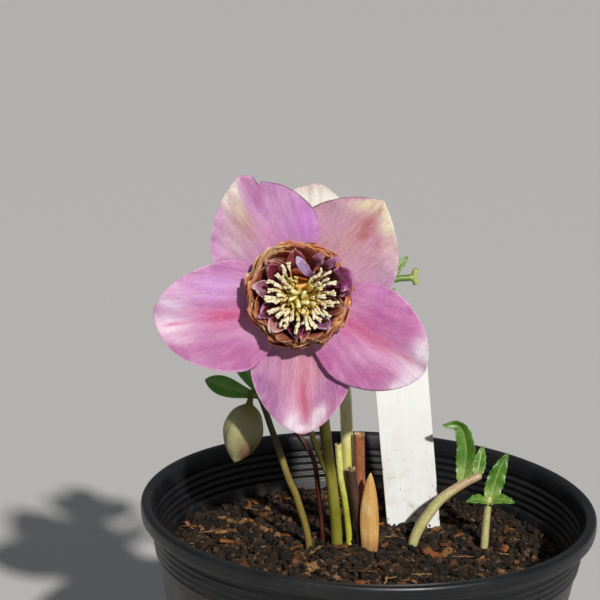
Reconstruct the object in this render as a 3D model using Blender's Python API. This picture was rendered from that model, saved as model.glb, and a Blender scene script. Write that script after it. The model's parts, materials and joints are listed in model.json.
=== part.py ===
"""Potted hellebore: a ribbed nursery pot of soil with a plant in flower.

Sizes are in millimetres and become metres when a mesh is made. +Z is up, the
origin is the middle of the pot's underside, and the main bloom faces -Y.
"""

import math
import random

import bmesh
import bpy
import numpy as np
from mathutils import Matrix, Vector

MM = 0.001
GAP = 0.3

# Pot
POT_HEIGHT = 100.0
POT_BASE_RADIUS = 41.0
POT_TOP_RADIUS = 59.6
POT_WALL = 1.2
LIP_RADIUS = 61.5
LIP_DEPTH = 4.2
RIB_PITCH = 2.0
RIB_RISE = 0.45
RIB_COUNT = 5
POT_SIDES = 36
DRAIN_HOLES = 6
DRAIN_RADIUS = 3.5
DRAIN_CIRCLE = 28.0

# Soil
SOIL_EDGE_Z = 83.6
SOIL_CROWN_Z = 86.2
CHIP_COUNT = 18

# Label
LABEL_WIDTH = 15.0
LABEL_LENGTH = 120.0
LABEL_THICKNESS = 0.8
LABEL_LEAN_DEG = 7.0
LABEL_TOP = Vector((7.0, 20.0, 144.0))

# Main bloom, in its own frame: x right, y up, z out of the flower
BLOOM_CENTRE = Vector((-20.4, -20.0, 160.7))
BLOOM_TILT_DEG = 9.0
SEPAL_THICKNESS = 0.7
SCOOP_THICKNESS = 0.7
SEPAL_ROOT = 2.6
BACK_SEPAL_ROOT = 3.8
LAYER_STEP = 1.3
POST_RADIUS = 2.2

# name, tip angle, length, width towards larger angles, width towards smaller, layer, where
# along the length it is widest, and how soon it narrows to the tip
SEPALS = (
    ("sepal_top_left", 118, 34.0, 15.6, 13.2, 1, 0.47, 0.77),
    ("sepal_top_right", 50, 32.0, 12.5, 15.8, 0, 0.50, 0.84),
    ("sepal_right", -29, 37.2, 13.7, 13.5, 2, 0.50, 0.54),
    ("sepal_bottom", -87, 34.9, 13.4, 12.7, 0, 0.48, 0.61),
    ("sepal_left", 190, 37.2, 17.0, 11.8, 2, 0.42, 0.48),
)

# Second bloom, which looks away from the first and upwards
BACK_CENTRE = Vector((-17.0, 10.5, 160.4))
BACK_TILT_DEG = 20.0
BACK_SEPALS = (
    ("back_sepal_top", 92, 26.0, 12.5, 12.5, 2, 0.55, 0.55),
    ("back_sepal_left", 164, 24.5, 11.5, 11.0, 0, 0.50, 0.65),
    ("back_sepal_right", 20, 25.0, 11.0, 12.0, 0, 0.50, 0.65),
    ("back_sepal_low_left", 236, 24.5, 11.0, 11.5, 2, 0.50, 0.60),
    ("back_sepal_low_right", 308, 24.5, 11.5, 11.0, 1, 0.50, 0.65),
)


def clear_scene():
    for obj in list(bpy.data.objects):
        bpy.data.objects.remove(obj)


def material(name, colour, roughness):
    made = bpy.data.materials.new(name)
    made.use_nodes = True
    shader = made.node_tree.nodes["Principled BSDF"]
    shader.inputs["Base Color"].default_value = (*colour, 1.0)
    shader.inputs["Roughness"].default_value = roughness
    shader.inputs["Metallic"].default_value = 0.0
    return made


def make_object(name, shape, mat=None, smooth=True):
    """An object from (points in mm, faces), with its faces turned outwards."""
    points, faces = shape
    mesh = bpy.data.meshes.new(name)
    mesh.from_pydata([Vector(p) * MM for p in points], [], faces)
    work = bmesh.new()
    work.from_mesh(mesh)
    bmesh.ops.recalc_face_normals(work, faces=work.faces)
    work.to_mesh(mesh)
    work.free()
    if smooth:
        mesh.shade_smooth()
        mesh.set_sharp_from_angle(angle=math.radians(40))
    if mat:
        mesh.materials.append(mat)
    obj = bpy.data.objects.new(name, mesh)
    bpy.context.scene.collection.objects.link(obj)
    return obj


def moved(shape, matrix):
    points, faces = shape
    return [matrix @ Vector(p) for p in points], faces


def combine(target, helpers, operation="UNION"):
    """One Boolean of the target with all the helpers, which are then removed."""
    group = bpy.data.collections.new(target.name + "_helpers")
    bpy.context.scene.collection.children.link(group)
    for helper in helpers:
        bpy.context.scene.collection.objects.unlink(helper)
        group.objects.link(helper)
    modifier = target.modifiers.new("combine", "BOOLEAN")
    modifier.operand_type = "COLLECTION"
    modifier.collection = group
    modifier.operation = operation
    modifier.solver = "MANIFOLD"
    graph = bpy.context.evaluated_depsgraph_get()
    mesh = bpy.data.meshes.new_from_object(target.evaluated_get(graph))
    target.modifiers.clear()
    target.data = mesh
    for helper in helpers:
        bpy.data.objects.remove(helper)
    bpy.data.collections.remove(group)
    return target


def fused(name, shapes, mat):
    """One node made of overlapping closed shapes."""
    target = make_object(name, shapes[0], mat)
    helpers = [make_object(f"{name}_{i}", shape, mat) for i, shape in enumerate(shapes[1:])]
    return combine(target, helpers)


def curve_through(points, count):
    """Count + 1 points on a smooth curve through the given ones."""
    known = [Vector(p) for p in points]
    ends = [known[0] * 2 - known[1]] + known + [known[-1] * 2 - known[-2]]
    spans = len(known) - 1
    found = []
    for i in range(count + 1):
        place = i / count * spans
        k = min(int(place), spans - 1)
        t = place - k
        a, b, c, d = ends[k:k + 4]
        found.append(0.5 * (2 * b + (c - a) * t + (2 * a - 5 * b + 4 * c - d) * t * t
                            + (3 * b - a - 3 * c + d) * t ** 3))
    return found


def tube(path, radii, sides):
    """A round closed body along the path, with one radius for each point of it."""
    path = [Vector(p) for p in path]
    points = []
    side = None
    for i, centre in enumerate(path):
        ahead = (path[min(i + 1, len(path) - 1)] - path[max(i - 1, 0)]).normalized()
        if side is None:
            side = ahead.orthogonal().normalized()
        side = (side - ahead * side.dot(ahead)).normalized()
        up = ahead.cross(side)
        for k in range(sides):
            turn = 2 * math.pi * k / sides
            points.append(centre + (side * math.cos(turn) + up * math.sin(turn)) * radii[i])
    faces = [tuple(range(sides)), tuple(range(len(points) - sides, len(points)))]
    for i in range(len(path) - 1):
        for k in range(sides):
            a, b = i * sides + k, i * sides + (k + 1) % sides
            faces.append((a, b, b + sides, a + sides))
    return points, faces


def turned(profile, sides, warp=None):
    """A profile of (radius, z) turned about +Z, from pole to pole or as a closed loop."""
    points = []
    rings = []
    for radius, z in profile:
        if radius == 0:
            rings.append([len(points)] * sides)
            points.append(Vector((0, 0, z)))
            continue
        rings.append(list(range(len(points), len(points) + sides)))
        for k in range(sides):
            turn = 2 * math.pi * k / sides
            point = Vector((radius * math.cos(turn), radius * math.sin(turn), z))
            points.append(warp(point) if warp else point)
    if profile[0][0] != 0:
        rings.append(rings[0])
    faces = []
    for low, high in zip(rings, rings[1:]):
        for k in range(sides):
            m = (k + 1) % sides
            corners = (low[k], low[m], high[m], high[k])
            faces.append(tuple(dict.fromkeys(corners)))
    return points, faces


def blade(surface, rows, columns, thickness):
    """A thin closed solid about surface(u, v): u from root 0 to tip 1, v from -1 to 1 across.

    The last row draws in to one point, and both faces are split into the same triangles."""
    step = 0.01

    def sides_at(u, v):
        middle = surface(u, v)
        inner = min(max(u, step), 0.96)
        along = surface(inner + step, v) - surface(inner - step, v)
        across = surface(inner, min(v + step, 1)) - surface(inner, max(v - step, -1))
        normal = along.cross(across).normalized() * thickness / 2
        return middle + normal, middle - normal

    points = []
    for i in range(rows):
        for j in range(columns + 1):
            points += sides_at(i / rows, 2 * j / columns - 1)
    tip = len(points)
    points += sides_at(1, 0)
    faces = []

    def both(a, b, c):
        faces.append((a, b, c))
        faces.append((c + 1, b + 1, a + 1))

    def wall(a, b):
        faces.append((a, b, b + 1))
        faces.append((a, b + 1, a + 1))

    def at(i, j):
        return 2 * (i * (columns + 1) + j) if i < rows else tip

    for i in range(rows):
        for j in range(columns):
            if i < rows - 1:
                both(at(i, j), at(i, j + 1), at(i + 1, j + 1))
                both(at(i, j), at(i + 1, j + 1), at(i + 1, j))
            else:
                both(at(i, j), at(i, j + 1), tip)
        wall(at(i + 1, 0), at(i, 0))
        wall(at(i, columns), at(i + 1, columns))
    for j in range(columns):
        wall(at(0, j), at(0, j + 1))
    return points, faces


def leaf(path, half_width, facing, fold=0.25, teeth=0.0, rows=8, columns=2, thickness=0.7, late=0.8):
    """A leaf along a curved midrib, folded up at its sides, with a toothed edge if wanted.

    It is widest near its root where late is small, and near its tip where late is large."""
    facing = Vector(facing).normalized()
    samples = curve_through(path, 40)

    def surface(u, v):
        place = min(max(u, 0), 1) * 40
        k = min(int(place), 39)
        middle = samples[k].lerp(samples[k + 1], place - k)
        ahead = (samples[k + 1] - samples[k]).normalized()
        across = ahead.cross(facing).normalized()
        up = across.cross(ahead)
        swell = max(math.sin(math.pi * (min(u, 1) ** late * 0.94 + 0.06)), 0) ** 0.7
        bite = 1 - teeth * (round(u * rows) % 2) if u < 0.95 else 1
        reach = half_width * swell * bite
        return middle + across * v * reach + up * abs(v) * reach * fold

    return blade(surface, rows, columns, thickness)


# Pot

def wall_radius(z):
    return POT_BASE_RADIUS + (POT_TOP_RADIUS - POT_BASE_RADIUS) * z / POT_HEIGHT


def make_pot(mat):
    """Thin wall with a ribbed band under a rolled lip, inside and out."""
    band_top = POT_HEIGHT - LIP_DEPTH
    ribs = [band_top - RIB_PITCH * (i + 0.5) for i in range(RIB_COUNT)]
    outside = [(0, 0), (POT_BASE_RADIUS - 1.0, 0), (POT_BASE_RADIUS, 1.0)]
    for z in reversed(ribs):
        outside.append((wall_radius(z - RIB_PITCH / 2), z - RIB_PITCH / 2))
        outside.append((wall_radius(z) + RIB_RISE, z))
    outside.append((wall_radius(band_top), band_top))
    lip = [
        (LIP_RADIUS - 0.5, band_top),
        (LIP_RADIUS, band_top + 1.2),
        (LIP_RADIUS - 0.2, POT_HEIGHT - 0.7),
        (LIP_RADIUS - 1.2, POT_HEIGHT),
        (POT_TOP_RADIUS - POT_WALL + 0.3, POT_HEIGHT - 0.6),
    ]
    inside = [(wall_radius(band_top) - POT_WALL, band_top)]
    for z in ribs:
        inside.append((wall_radius(z) - POT_WALL + RIB_RISE, z))
        inside.append((wall_radius(z - RIB_PITCH / 2) - POT_WALL, z - RIB_PITCH / 2))
    inside += [(wall_radius(POT_WALL) - POT_WALL, POT_WALL), (0, POT_WALL)]
    pot = make_object("pot", turned(outside + lip + inside, POT_SIDES), mat)
    holes = []
    for k in range(DRAIN_HOLES):
        turn = 2 * math.pi * k / DRAIN_HOLES
        middle = Vector((DRAIN_CIRCLE * math.cos(turn), DRAIN_CIRCLE * math.sin(turn), 0))
        cut = [middle - Vector((0, 0, 1)), middle + Vector((0, 0, POT_WALL + 1))]
        holes.append(make_object(f"drain_{k}", tube(cut, [DRAIN_RADIUS] * 2, 10)))
    return combine(pot, holes, "DIFFERENCE")


# Soil and label

def soil_height(x, y):
    """Surface of the soil: a low mound at the crown, with small lumps."""
    radius = math.hypot(x, y)
    edge = wall_radius(SOIL_EDGE_Z)
    mound = (SOIL_CROWN_Z - SOIL_EDGE_Z) * (0.5 + 0.5 * math.cos(math.pi * min(radius / edge, 1)))
    lumps = 0.5 * math.sin(0.31 * x + 0.9) * math.sin(0.27 * y) + 0.35 * math.sin(0.52 * y + 0.23 * x)
    return SOIL_EDGE_Z + mound + lumps * min(1, (edge - radius) / 6)


def chip(place, turn, size, draw):
    """A flat flake of bark, tilted and half sunk in the soil."""
    length, width, height = size
    corners = [Vector((sx * length / 2, sy * width / 2 * (1 - 0.3 * (sx > 0)), sz * height / 2))
               for sz in (-1, 1) for sx, sy in ((-1, -1), (1, -1), (1, 1), (-1, 1))]
    faces = [(0, 3, 2, 1), (4, 5, 6, 7)]
    faces += [(k, (k + 1) % 4, (k + 1) % 4 + 4, k + 4) for k in range(4)]
    roll = Matrix.Rotation(draw.uniform(-0.35, 0.35), 4, "X")
    pitch = Matrix.Rotation(draw.uniform(-0.3, 0.3), 4, "Y")
    return moved((corners, faces), Matrix.Translation(place) @ Matrix.Rotation(turn, 4, "Z") @ roll @ pitch)


def make_soil(mat, cutters):
    """Soil that fills the pot, with bark flakes on it and a plain hole for each buried end."""
    def lumpy(point):
        if point.z > SOIL_EDGE_Z - 1:
            point.z = soil_height(point.x, point.y)
        return point

    inner = POT_WALL + GAP
    edge = wall_radius(SOIL_EDGE_Z) - inner
    surface = [(edge * share, SOIL_EDGE_Z) for share in (1.0, 0.84, 0.66, 0.46, 0.24)]
    profile = [(0, inner), (wall_radius(inner) - inner, inner), (edge - 0.1, SOIL_EDGE_Z - 1.2)]
    profile += surface + [(0, SOIL_CROWN_Z)]
    soil = make_object("soil", turned(profile, POT_SIDES, lumpy), mat)
    draw = random.Random(11)
    chips = []
    while len(chips) < CHIP_COUNT:
        radius = edge * math.sqrt(draw.uniform(0.08, 0.82))
        turn = draw.uniform(0, 2 * math.pi)
        x, y = radius * math.cos(turn), radius * math.sin(turn)
        near = min((Vector((x, y)) - Vector((c[0], c[1]))).length for c in BURIED.values())
        if near < 7:
            continue
        size = (draw.uniform(4, 8), draw.uniform(2.5, 4.5), draw.uniform(1.6, 2.2))
        place = (x, y, soil_height(x, y) + 0.3)
        chips.append(make_object(f"chip_{len(chips)}", chip(place, draw.uniform(0, 3), size, draw)))
    combine(soil, chips)
    soil.data.materials.clear()
    soil.data.materials.append(mat)
    return combine(soil, cutters, "DIFFERENCE")


def label_matrix():
    return Matrix.Translation(LABEL_TOP) @ Matrix.Rotation(math.radians(-LABEL_LEAN_DEG), 4, "Y")


def label_shape(grow=0.0):
    """Flat label with round top corners and a pointed foot, hanging from its top middle."""
    half = LABEL_WIDTH / 2 + grow
    corner = 3.0
    outline = [(0, -LABEL_LENGTH - grow), (half, -LABEL_LENGTH + 14 - grow)]
    for k in range(4):
        turn = math.radians(30 * k)
        outline.append((half - corner + corner * math.cos(turn), corner * (math.sin(turn) - 1)))
    outline += [(-x, z) for x, z in reversed(outline[1:])]
    deep = LABEL_THICKNESS / 2 + grow
    count = len(outline)
    points = [Vector((x, y, z)) for y in (-deep, deep) for x, z in outline]
    faces = [tuple(range(count)), tuple(range(2 * count - 1, count - 1, -1))]
    faces += [(k, (k + 1) % count, (k + 1) % count + count, k + count) for k in range(count)]
    return moved((points, faces), label_matrix())


# Stalks: each has its route, its radii and the foot of its hole

MAIN_STEM = ((-8.0, 0.5, 66), (-8.0, 0.5, 86), (-9.5, -1, 100.7), (-11.4, -4, 113.4),
             (-12.6, -7, 122.4), (-15, -10.5, 136), (-18.6, -12.6, 149), (-20.3, -13.0, 156.5),
             (-20.4, -16.2, 160.1))
SIDE_STALK = ((-10.3, -2.2, 106), (-12.8, -3.6, 111.2), (-15.9, -6, 119.8), (-18.6, -8.5, 129),
              (-20.5, -9.5, 137))
BACK_STEM = ((-4.8, 6.4, 66), (-4.8, 6.4, 86), (-5.7, 7, 107.4), (-6.9, 9, 126), (-8.9, 7.6, 140),
             (-13.0, 4.2, 151), (-16.4, 3.2, 156.5), (-17.0, 7.0, 158.0))
BUD_STEM = ((-15.6, -1.0, 68), (-15.6, -1.0, 86), (-19.2, -2, 99.8), (-21.8, -2.2, 106),
            (-24.2, -1.8, 112.7), (-26.4, -1.0, 118.5), (-29.4, -0.6, 126.6), (-31.0, -1.0, 129.2),
            (-32.3, -2.2, 129.6), (-32.6, -3.4, 127.4))
RED_STALK = ((-11.8, 4.6, 68), (-11.8, 4.6, 86), (-13.2, 3.6, 98), (-14.8, 2.6, 108.9),
             (-17.3, 2.4, 113.9), (-19.6, 2.6, 116.9), (-23.5, 3.5, 122.6), (-26.5, 4.2, 128.5))
PALE_STUB = ((-4.6, 2.5, 68), (-4.6, 2.5, 86), (-6.2, 2.6, 98.3), (-7.6, 2.6, 105.2),
             (-8.6, 2.6, 114.9))
DARK_STUB = ((-1.4, 0.6, 68), (-1.4, 0.6, 86), (-3.4, 0.8, 99.1), (-5.2, 0.8, 108.8))
RUSTY_STUB = ((-0.6, 4.6, 68), (-0.6, 4.6, 86), (-2.3, 4.5, 104.7), (-3.0, 5.0, 117.6))
SHEATH = ((0.9, -2.7, 68), (0.9, -2.7, 86), (0.4, -2.7, 97), (0.3, -2.2, 108.2))
YOUNG_STALK = ((13.0, 5.0, 66), (13.0, 5.0, 82), (13.5, 5.2, 87), (16.0, 6.0, 92), (20.4, 7, 97.9),
               (26.0, 8.2, 101.9), (30.6, 9, 104.2))
SECOND_STALK = ((33.0, 6.4, 66), (33.0, 6.4, 82), (33.1, 6.6, 87), (33.4, 7.4, 93), (33.8, 8, 98))

# x, y and radius of each stalk where it enters the soil
BURIED = {
    "main_stem": (-8.0, 0.5, 1.75), "back_stem": (-4.8, 6.4, 1.8), "bud_stem": (-15.6, -1.0, 1.2),
    "red_stalk": (-11.8, 4.6, 0.9), "stub_pale": (-4.6, 2.5, 1.0), "stub_dark": (-1.4, 0.6, 1.2),
    "stub_rusty": (-0.6, 4.6, 1.5), "sheath": (0.9, -2.7, 3.0), "young_leaf": (13.0, 5.0, 1.5),
    "young_leaf_right": (33.0, 6.4, 1.3),
}


def stalk(path, radii, steps, sides=8):
    """A round stalk along a smooth route, its radius drawn evenly through the given ones."""
    route = curve_through(path, steps)
    spans = len(radii) - 1
    along = [i / steps * spans for i in range(steps + 1)]
    widths = [float(np.interp(a, range(spans + 1), radii)) for a in along]
    return tube(route, widths, sides)


def hole(name, x, y, radius):
    """Cutter for the plain hole in the soil that a stalk stands in."""
    low, high = Vector((x, y, 60)), Vector((x, y, SOIL_CROWN_Z + 6))
    return make_object(f"hole_{name}", tube([low, high], [radius + GAP] * 2, 12))


# Flowers, built in the flower's own frame

def flower_matrix(centre, facing_y, tilt_deg):
    """Frame whose z leaves the flower towards -Y (facing_y -1) or +Y (1), tilted up."""
    tilt = math.radians(tilt_deg)
    out = Vector((0, facing_y * math.cos(tilt), math.sin(tilt)))
    right = Vector((-facing_y, 0, 0))
    up = out.cross(right)
    frame = Matrix((right, up, out)).transposed().to_4x4()
    return Matrix.Translation(centre) @ frame


def bowl(reach, length, opening):
    """Radius, height and slope where the bowl's arc has run this far from the flower's middle."""
    first, last = (math.radians(a) for a in opening)
    slope = first + (last - first) * reach / length
    bend = (last - first) / length
    return (math.sin(slope) - math.sin(first)) / bend, (math.cos(first) - math.cos(slope)) / bend, slope


def sepal_outline(u, widest, narrowing):
    """Share of the length and share of the full width, from the claw (0) to the tip (1)."""
    if u < 0.5:
        return widest * 2 * u, 0.24 + 0.76 * math.sin(math.pi * u)
    swing = math.sin(math.pi / 2 * (2 * u - 1))
    return widest + (1 - widest) * swing, max(1 - swing ** 1.7, 0) ** narrowing


def sepal(spec, opening, root=SEPAL_ROOT, rows=8, columns=6):
    """A broad sepal on the bowl of its flower, in its own layer."""
    _, angle, length, wide_ccw, wide_cw, layer, widest, narrowing = spec
    turn = math.radians(angle)

    def surface(u, v):
        share, width = sepal_outline(min(u, 1), widest, narrowing)
        along = root + (length - root) * share
        across = v * width * (wide_ccw if v > 0 else wide_cw)
        flat = math.hypot(along, across)
        heading = turn + math.atan2(across, along)
        radius, height, slope = bowl(flat, length, opening)
        groove = -0.3 * math.exp(-(across / 1.6) ** 2) * share
        wave = 0.22 * math.sin(across * 0.55 + angle) * share
        lift = layer * LAYER_STEP + groove + wave
        radius -= math.sin(slope) * lift
        height += math.cos(slope) * lift
        return Vector((radius * math.cos(heading), radius * math.sin(heading), height))

    return blade(surface, rows, columns, SEPAL_THICKNESS)


def polar(radius, degrees, z):
    turn = math.radians(degrees)
    return Vector((radius * math.cos(turn), radius * math.sin(turn), z))


def scoop(route, heading, half_width, hollow, rows, columns):
    """A petal-like scoop that rises along (radius, z) points, hollow on its inner side."""
    samples = curve_through([Vector((r, 0, z)) for r, z in route], 20)

    def surface(u, v):
        place = min(max(u, 0), 1) * 20
        k = min(int(place), 19)
        middle = samples[k].lerp(samples[k + 1], place - k)
        width = half_width * (0.55 + 0.45 * math.sin(math.pi * min(u, 1) * 0.8))
        width *= math.sqrt(max(1 - (max(u - 0.6, 0) / 0.4) ** 2, 0)) if u > 0.6 else 1
        radius = middle.x - hollow * v * v * width / half_width
        return polar(radius, heading + math.degrees(v * width / max(middle.x, 4)), middle.z)

    return blade(surface, rows, columns, SCOOP_THICKNESS)


# headings where the inner scoops make way for the two free petaloids
RUFF_BREAK = (0, 66)


def nectary_ruff():
    """Bowl-shaped core with two rings of overlapping scoops, from the outside in."""
    draw = random.Random(5)
    core = [(2.5, 3.7), (9.0, 4.4), (11.6, 5.3), (12.3, 7.4), (12.1, 9.4), (11.4, 9.4), (11.3, 7.6),
            (10.3, 6.2), (8.6, 5.5), (2.5, 4.8)]
    shapes = [turned(core, 20)]
    count = 14
    for k in range(count):
        heading = 360 / count * k + draw.uniform(-4, 4)
        out = 0.35 if k % 2 else -0.4
        top = draw.uniform(-0.7, 0.7)
        route = [(10.6, 5.3), (13.0 + out, 6.6), (13.7 + out, 9.2 + top), (12.7 + out, 12.2 + top)]
        shapes.append(scoop(route, heading, 3.7, 0.7, rows=3, columns=3))
    count = 9
    for k in range(count):
        heading = 360 / count * k + 12 + draw.uniform(-6, 6)
        top = draw.uniform(-0.6, 0.6)
        if RUFF_BREAK[0] < heading < RUFF_BREAK[1]:
            continue
        route = [(10.9, 6.8), (11.3, 9.0), (11.2 + 0.2 * (k % 2), 11.2 + top), (10.2, 12.6 + top)]
        shapes.append(scoop(route, heading, 3.6, 0.5, rows=3, columns=3))
    return shapes


# heading, half width, lean outwards at the top, height of the top
PETALOIDS = (
    (100, 2.3, 0.2, 12.2), (128, 1.9, 0.5, 11.6), (155, 2.2, 0.0, 12.4), (182, 2.4, 0.5, 12.8),
    (206, 1.8, 0.2, 12.0), (229, 2.3, 0.6, 12.6), (262, 1.9, 0.0, 11.4), (290, 1.8, 0.2, 11.8),
    (314, 2.2, 0.5, 12.6), (345, 1.8, 0.0, 11.8),
)


def petaloids():
    """Low ring that carries the purple blades, with three free ones among the stamens."""
    shapes = [turned([(5.8, 5.8), (7.9, 6.0), (7.9, 6.8), (5.8, 6.6)], 20)]
    for heading, half_width, lean, top in PETALOIDS:
        route = [(7.0, 6.3), (8.4 + lean * 0.5, 8.2), (9.2 + lean * 0.6, 10.4), (9.0 + lean, top)]
        shapes.append(scoop(route, heading, half_width, 0.6, rows=3, columns=2))
    frilled = [polar(7.2, 26, 6.3), polar(9.3, 26, 9.0), polar(10.6, 25, 12.6), polar(12.0, 24, 14.3),
               polar(14.0, 23, 14.5)]
    shapes.append(leaf(frilled, 3.3, (0, 0, 1), 0.35, rows=6, columns=4))
    curled = [polar(7.0, 52, 6.3), polar(9.2, 52, 9.5), polar(10.4, 50, 13.2), polar(12.2, 48, 15.2),
              polar(13.8, 45, 14.9)]
    shapes.append(leaf(curled, 1.1, (0, 0, 1), 0.3, rows=6))
    lilac = [Vector((3.4, 5.8, 6.3)), Vector((2.9, 4.9, 9.4)), Vector((1.4, 5.8, 12.4)),
             Vector((-1.2, 9.0, 13.8))]
    shapes.append(leaf(lilac, 1.1, (0.3, 0, 1), 0.2, rows=6))
    return shapes


# headings with no stamens, where the lilac petaloid leans in
STAMEN_GAP = (60, 112)


def stamen_cluster(inner, outer, count, reach, top, gap=None):
    """Low ring with stamens that lean outwards, each a thin filament with a long anther."""
    draw = random.Random(3)
    base_z = 5.1
    shapes = [turned([(inner, base_z), (outer, base_z + 0.1), (outer - 0.5, base_z + 1.6),
                      (inner, base_z + 1.8)], 16)]
    for k in range(count):
        heading = (360 * k / count + draw.uniform(-3, 3)) % 360
        if gap and gap[0] < heading < gap[1]:
            continue
        out = reach * (0.66, 1.0, 0.82)[k % 3] + draw.uniform(-0.3, 0.3)
        crown = top + (0.5, -0.2, 0.1)[k % 3]
        knee = out - 2.1
        root = (inner + outer) / 2 - 0.2
        route = [polar(root, heading, base_z + 1.2), polar(root + 0.5, heading, crown - 2.6),
                 polar(knee, heading, crown - 0.8), polar(out, heading, crown)]
        shapes.append(tube(route, (0.32, 0.32, 0.45, 0.5), 4))
    return shapes


def carpels(count, top):
    """Pointed carpels side by side, whose tips hook outwards."""
    shapes = [turned([(0, 5.05), (2.2, 5.05), (2.0, 7.0), (0, 7.2)], 10)]
    for k in range(count):
        heading = 360 / count * k + 20
        route = [polar(1.1, heading, 6.4), polar(1.35, heading, 8.6), polar(1.2, heading, top - 2.4),
                 polar(1.3, heading, top - 0.7), polar(2.3, heading, top)]
        shapes.append(tube(route, (0.8, 0.95, 0.55, 0.42, 0.5), 6))
    return shapes


def back_nectaries(count):
    """Ring of small green scoops round the stamens of the second bloom."""
    shapes = [turned([(3.3, 5.2), (5.3, 5.6), (5.3, 6.9), (3.3, 6.7)], 12)]
    for k in range(count):
        route = [(4.7, 6.3), (6.4, 7.0), (7.2, 8.6), (7.1, 10.2 + 0.4 * (k % 2))]
        shapes.append(scoop(route, 360 / count * k, 1.9, 0.4, rows=3, columns=2))
    return shapes


def receptacle():
    """Swelling behind the sepals with a short post through their middle."""
    profile = [(0, -5.2), (1.6, -5.0), (1.8, -3.4), (3.4, -1.6), (4.2, -0.95), (POST_RADIUS, -0.75),
               (POST_RADIUS, 4.7), (0, 4.75)]
    return turned(profile, 12)


# Bud

def bud_shape(base, tip, radius):
    """Egg-shaped bud of five lapping sepals, each edge a small step, ending in a point."""
    base, tip = Vector(base), Vector(tip)
    length = (tip - base).length
    profile = [(0, 0), (0.36, 0.03), (0.78, 0.16), (1.0, 0.38), (0.98, 0.55), (0.72, 0.77), (0.3, 0.93),
               (0, 1)]
    sides = 20
    points, rings = [], []
    for share, place in profile:
        if share == 0:
            rings.append([len(points)] * sides)
            points.append(Vector((0, 0, place * length)))
            continue
        rings.append(list(range(len(points), len(points) + sides)))
        for k in range(sides):
            step = (k % 4) / 3 * 0.1
            turn = 2 * math.pi * (k + 2.4 * place) / sides
            reach = radius * share * (0.93 + step * share)
            points.append(Vector((reach * math.cos(turn), reach * math.sin(turn), place * length)))
    faces = []
    for low, high in zip(rings, rings[1:]):
        for k in range(sides):
            m = (k + 1) % sides
            faces.append(tuple(dict.fromkeys((low[k], low[m], high[m], high[k]))))
    turn = (tip - base).to_track_quat("Z", "Y").to_matrix().to_4x4()
    return moved((points, faces), Matrix.Translation(base) @ turn)


def build_pot_and_soil():
    make_pot(material("black_plastic", (0.012, 0.013, 0.015), 0.42))
    cutters = [hole(name, *place) for name, place in BURIED.items()]
    cutters.append(make_object("hole_label", label_shape(GAP)))
    make_soil(material("soil", (0.035, 0.025, 0.018), 0.95), cutters)
    white = material("white_label", (0.85, 0.86, 0.84), 0.45)
    make_object("plant_label", label_shape(), white, smooth=False)


def build_main_bloom():
    place = flower_matrix(BLOOM_CENTRE, -1, BLOOM_TILT_DEG)
    stem = material("stem_olive", (0.10, 0.11, 0.02), 0.5)
    petal = material("sepal_mauve", (0.55, 0.20, 0.50), 0.55)
    small_leaf = leaf([(-20.3, -9.4, 136), (-21.2, -9.2, 140), (-22.0, -9.4, 145)],
                      2.2, (0, 1, 0.2), rows=5)
    fused("main_stem", [stalk(MAIN_STEM, (1.6, 1.5, 1.5, 1.4, 1.6), 20), moved(receptacle(), place),
                        stalk(SIDE_STALK, (0.8, 0.75, 0.7), 8, 6), small_leaf], stem)
    for spec in SEPALS:
        make_object(spec[0], moved(sepal(spec, (3, 13)), place), petal)
    rust = material("nectary_rust", (0.42, 0.16, 0.04), 0.45)
    fused("nectary_ruff", [moved(s, place) for s in nectary_ruff()], rust)
    purple = material("petaloid_purple", (0.22, 0.03, 0.13), 0.45)
    fused("petaloids", [moved(s, place) for s in petaloids()], purple)
    cream = material("anther_cream", (0.88, 0.78, 0.50), 0.6)
    ring = stamen_cluster(2.6, 5.0, 40, 9.0, 13.8, STAMEN_GAP)
    fused("stamens", [moved(s, place) for s in ring], cream)
    yellow = material("carpel_yellow", (0.80, 0.66, 0.18), 0.5)
    fused("carpels", [moved(s, place) for s in carpels(5, 14.0)], yellow)


def build_back_bloom():
    place = flower_matrix(BACK_CENTRE, 1, BACK_TILT_DEG)
    green = material("stem_pale_green", (0.45, 0.46, 0.14), 0.5)
    upper = leaf([(-10.6, 6.0, 146), (-3.5, 5.6, 154), (4, 7, 161.5), (8.6, 9, 165.6)],
                 2.6, (0, -1, 0.3), rows=6)
    arm = stalk([(-10.4, 6.2, 145), (-3, 7, 152), (4, 9, 158.6), (10.8, 10, 159.8)], (0.6, 0.8, 0.9), 8, 6)
    arm_end = stalk([(11.2, 10, 157.9), (10.5, 10, 159.8), (10.9, 9.9, 162)], (0.8, 1.0, 0.8), 4, 6)
    lower = leaf([(-10.0, 6.4, 144), (-4, 5, 149), (2, 6, 153.5), (5.4, 8, 157)], 2.2, (0, -1, 0.4), rows=6)
    fused("back_stem", [stalk(BACK_STEM, (1.6, 1.7, 1.7, 1.6), 18), moved(receptacle(), place),
                        upper, arm, arm_end, lower], green)
    cream = material("sepal_cream", (0.86, 0.80, 0.72), 0.55)
    for spec in BACK_SEPALS:
        make_object(spec[0], moved(sepal(spec, (12, 62), BACK_SEPAL_ROOT, 7, 4), place), cream)
    cup = [moved(s, place) for s in back_nectaries(8)]
    fused("back_nectaries", cup, material("nectary_green", (0.62, 0.60, 0.20), 0.5))
    centre = stamen_cluster(1.8, 3.0, 12, 5.2, 11.6) + carpels(3, 12.4)
    anther = material("back_anther", (0.86, 0.80, 0.52), 0.6)
    fused("back_stamens", [moved(s, place) for s in centre], anther)


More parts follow.
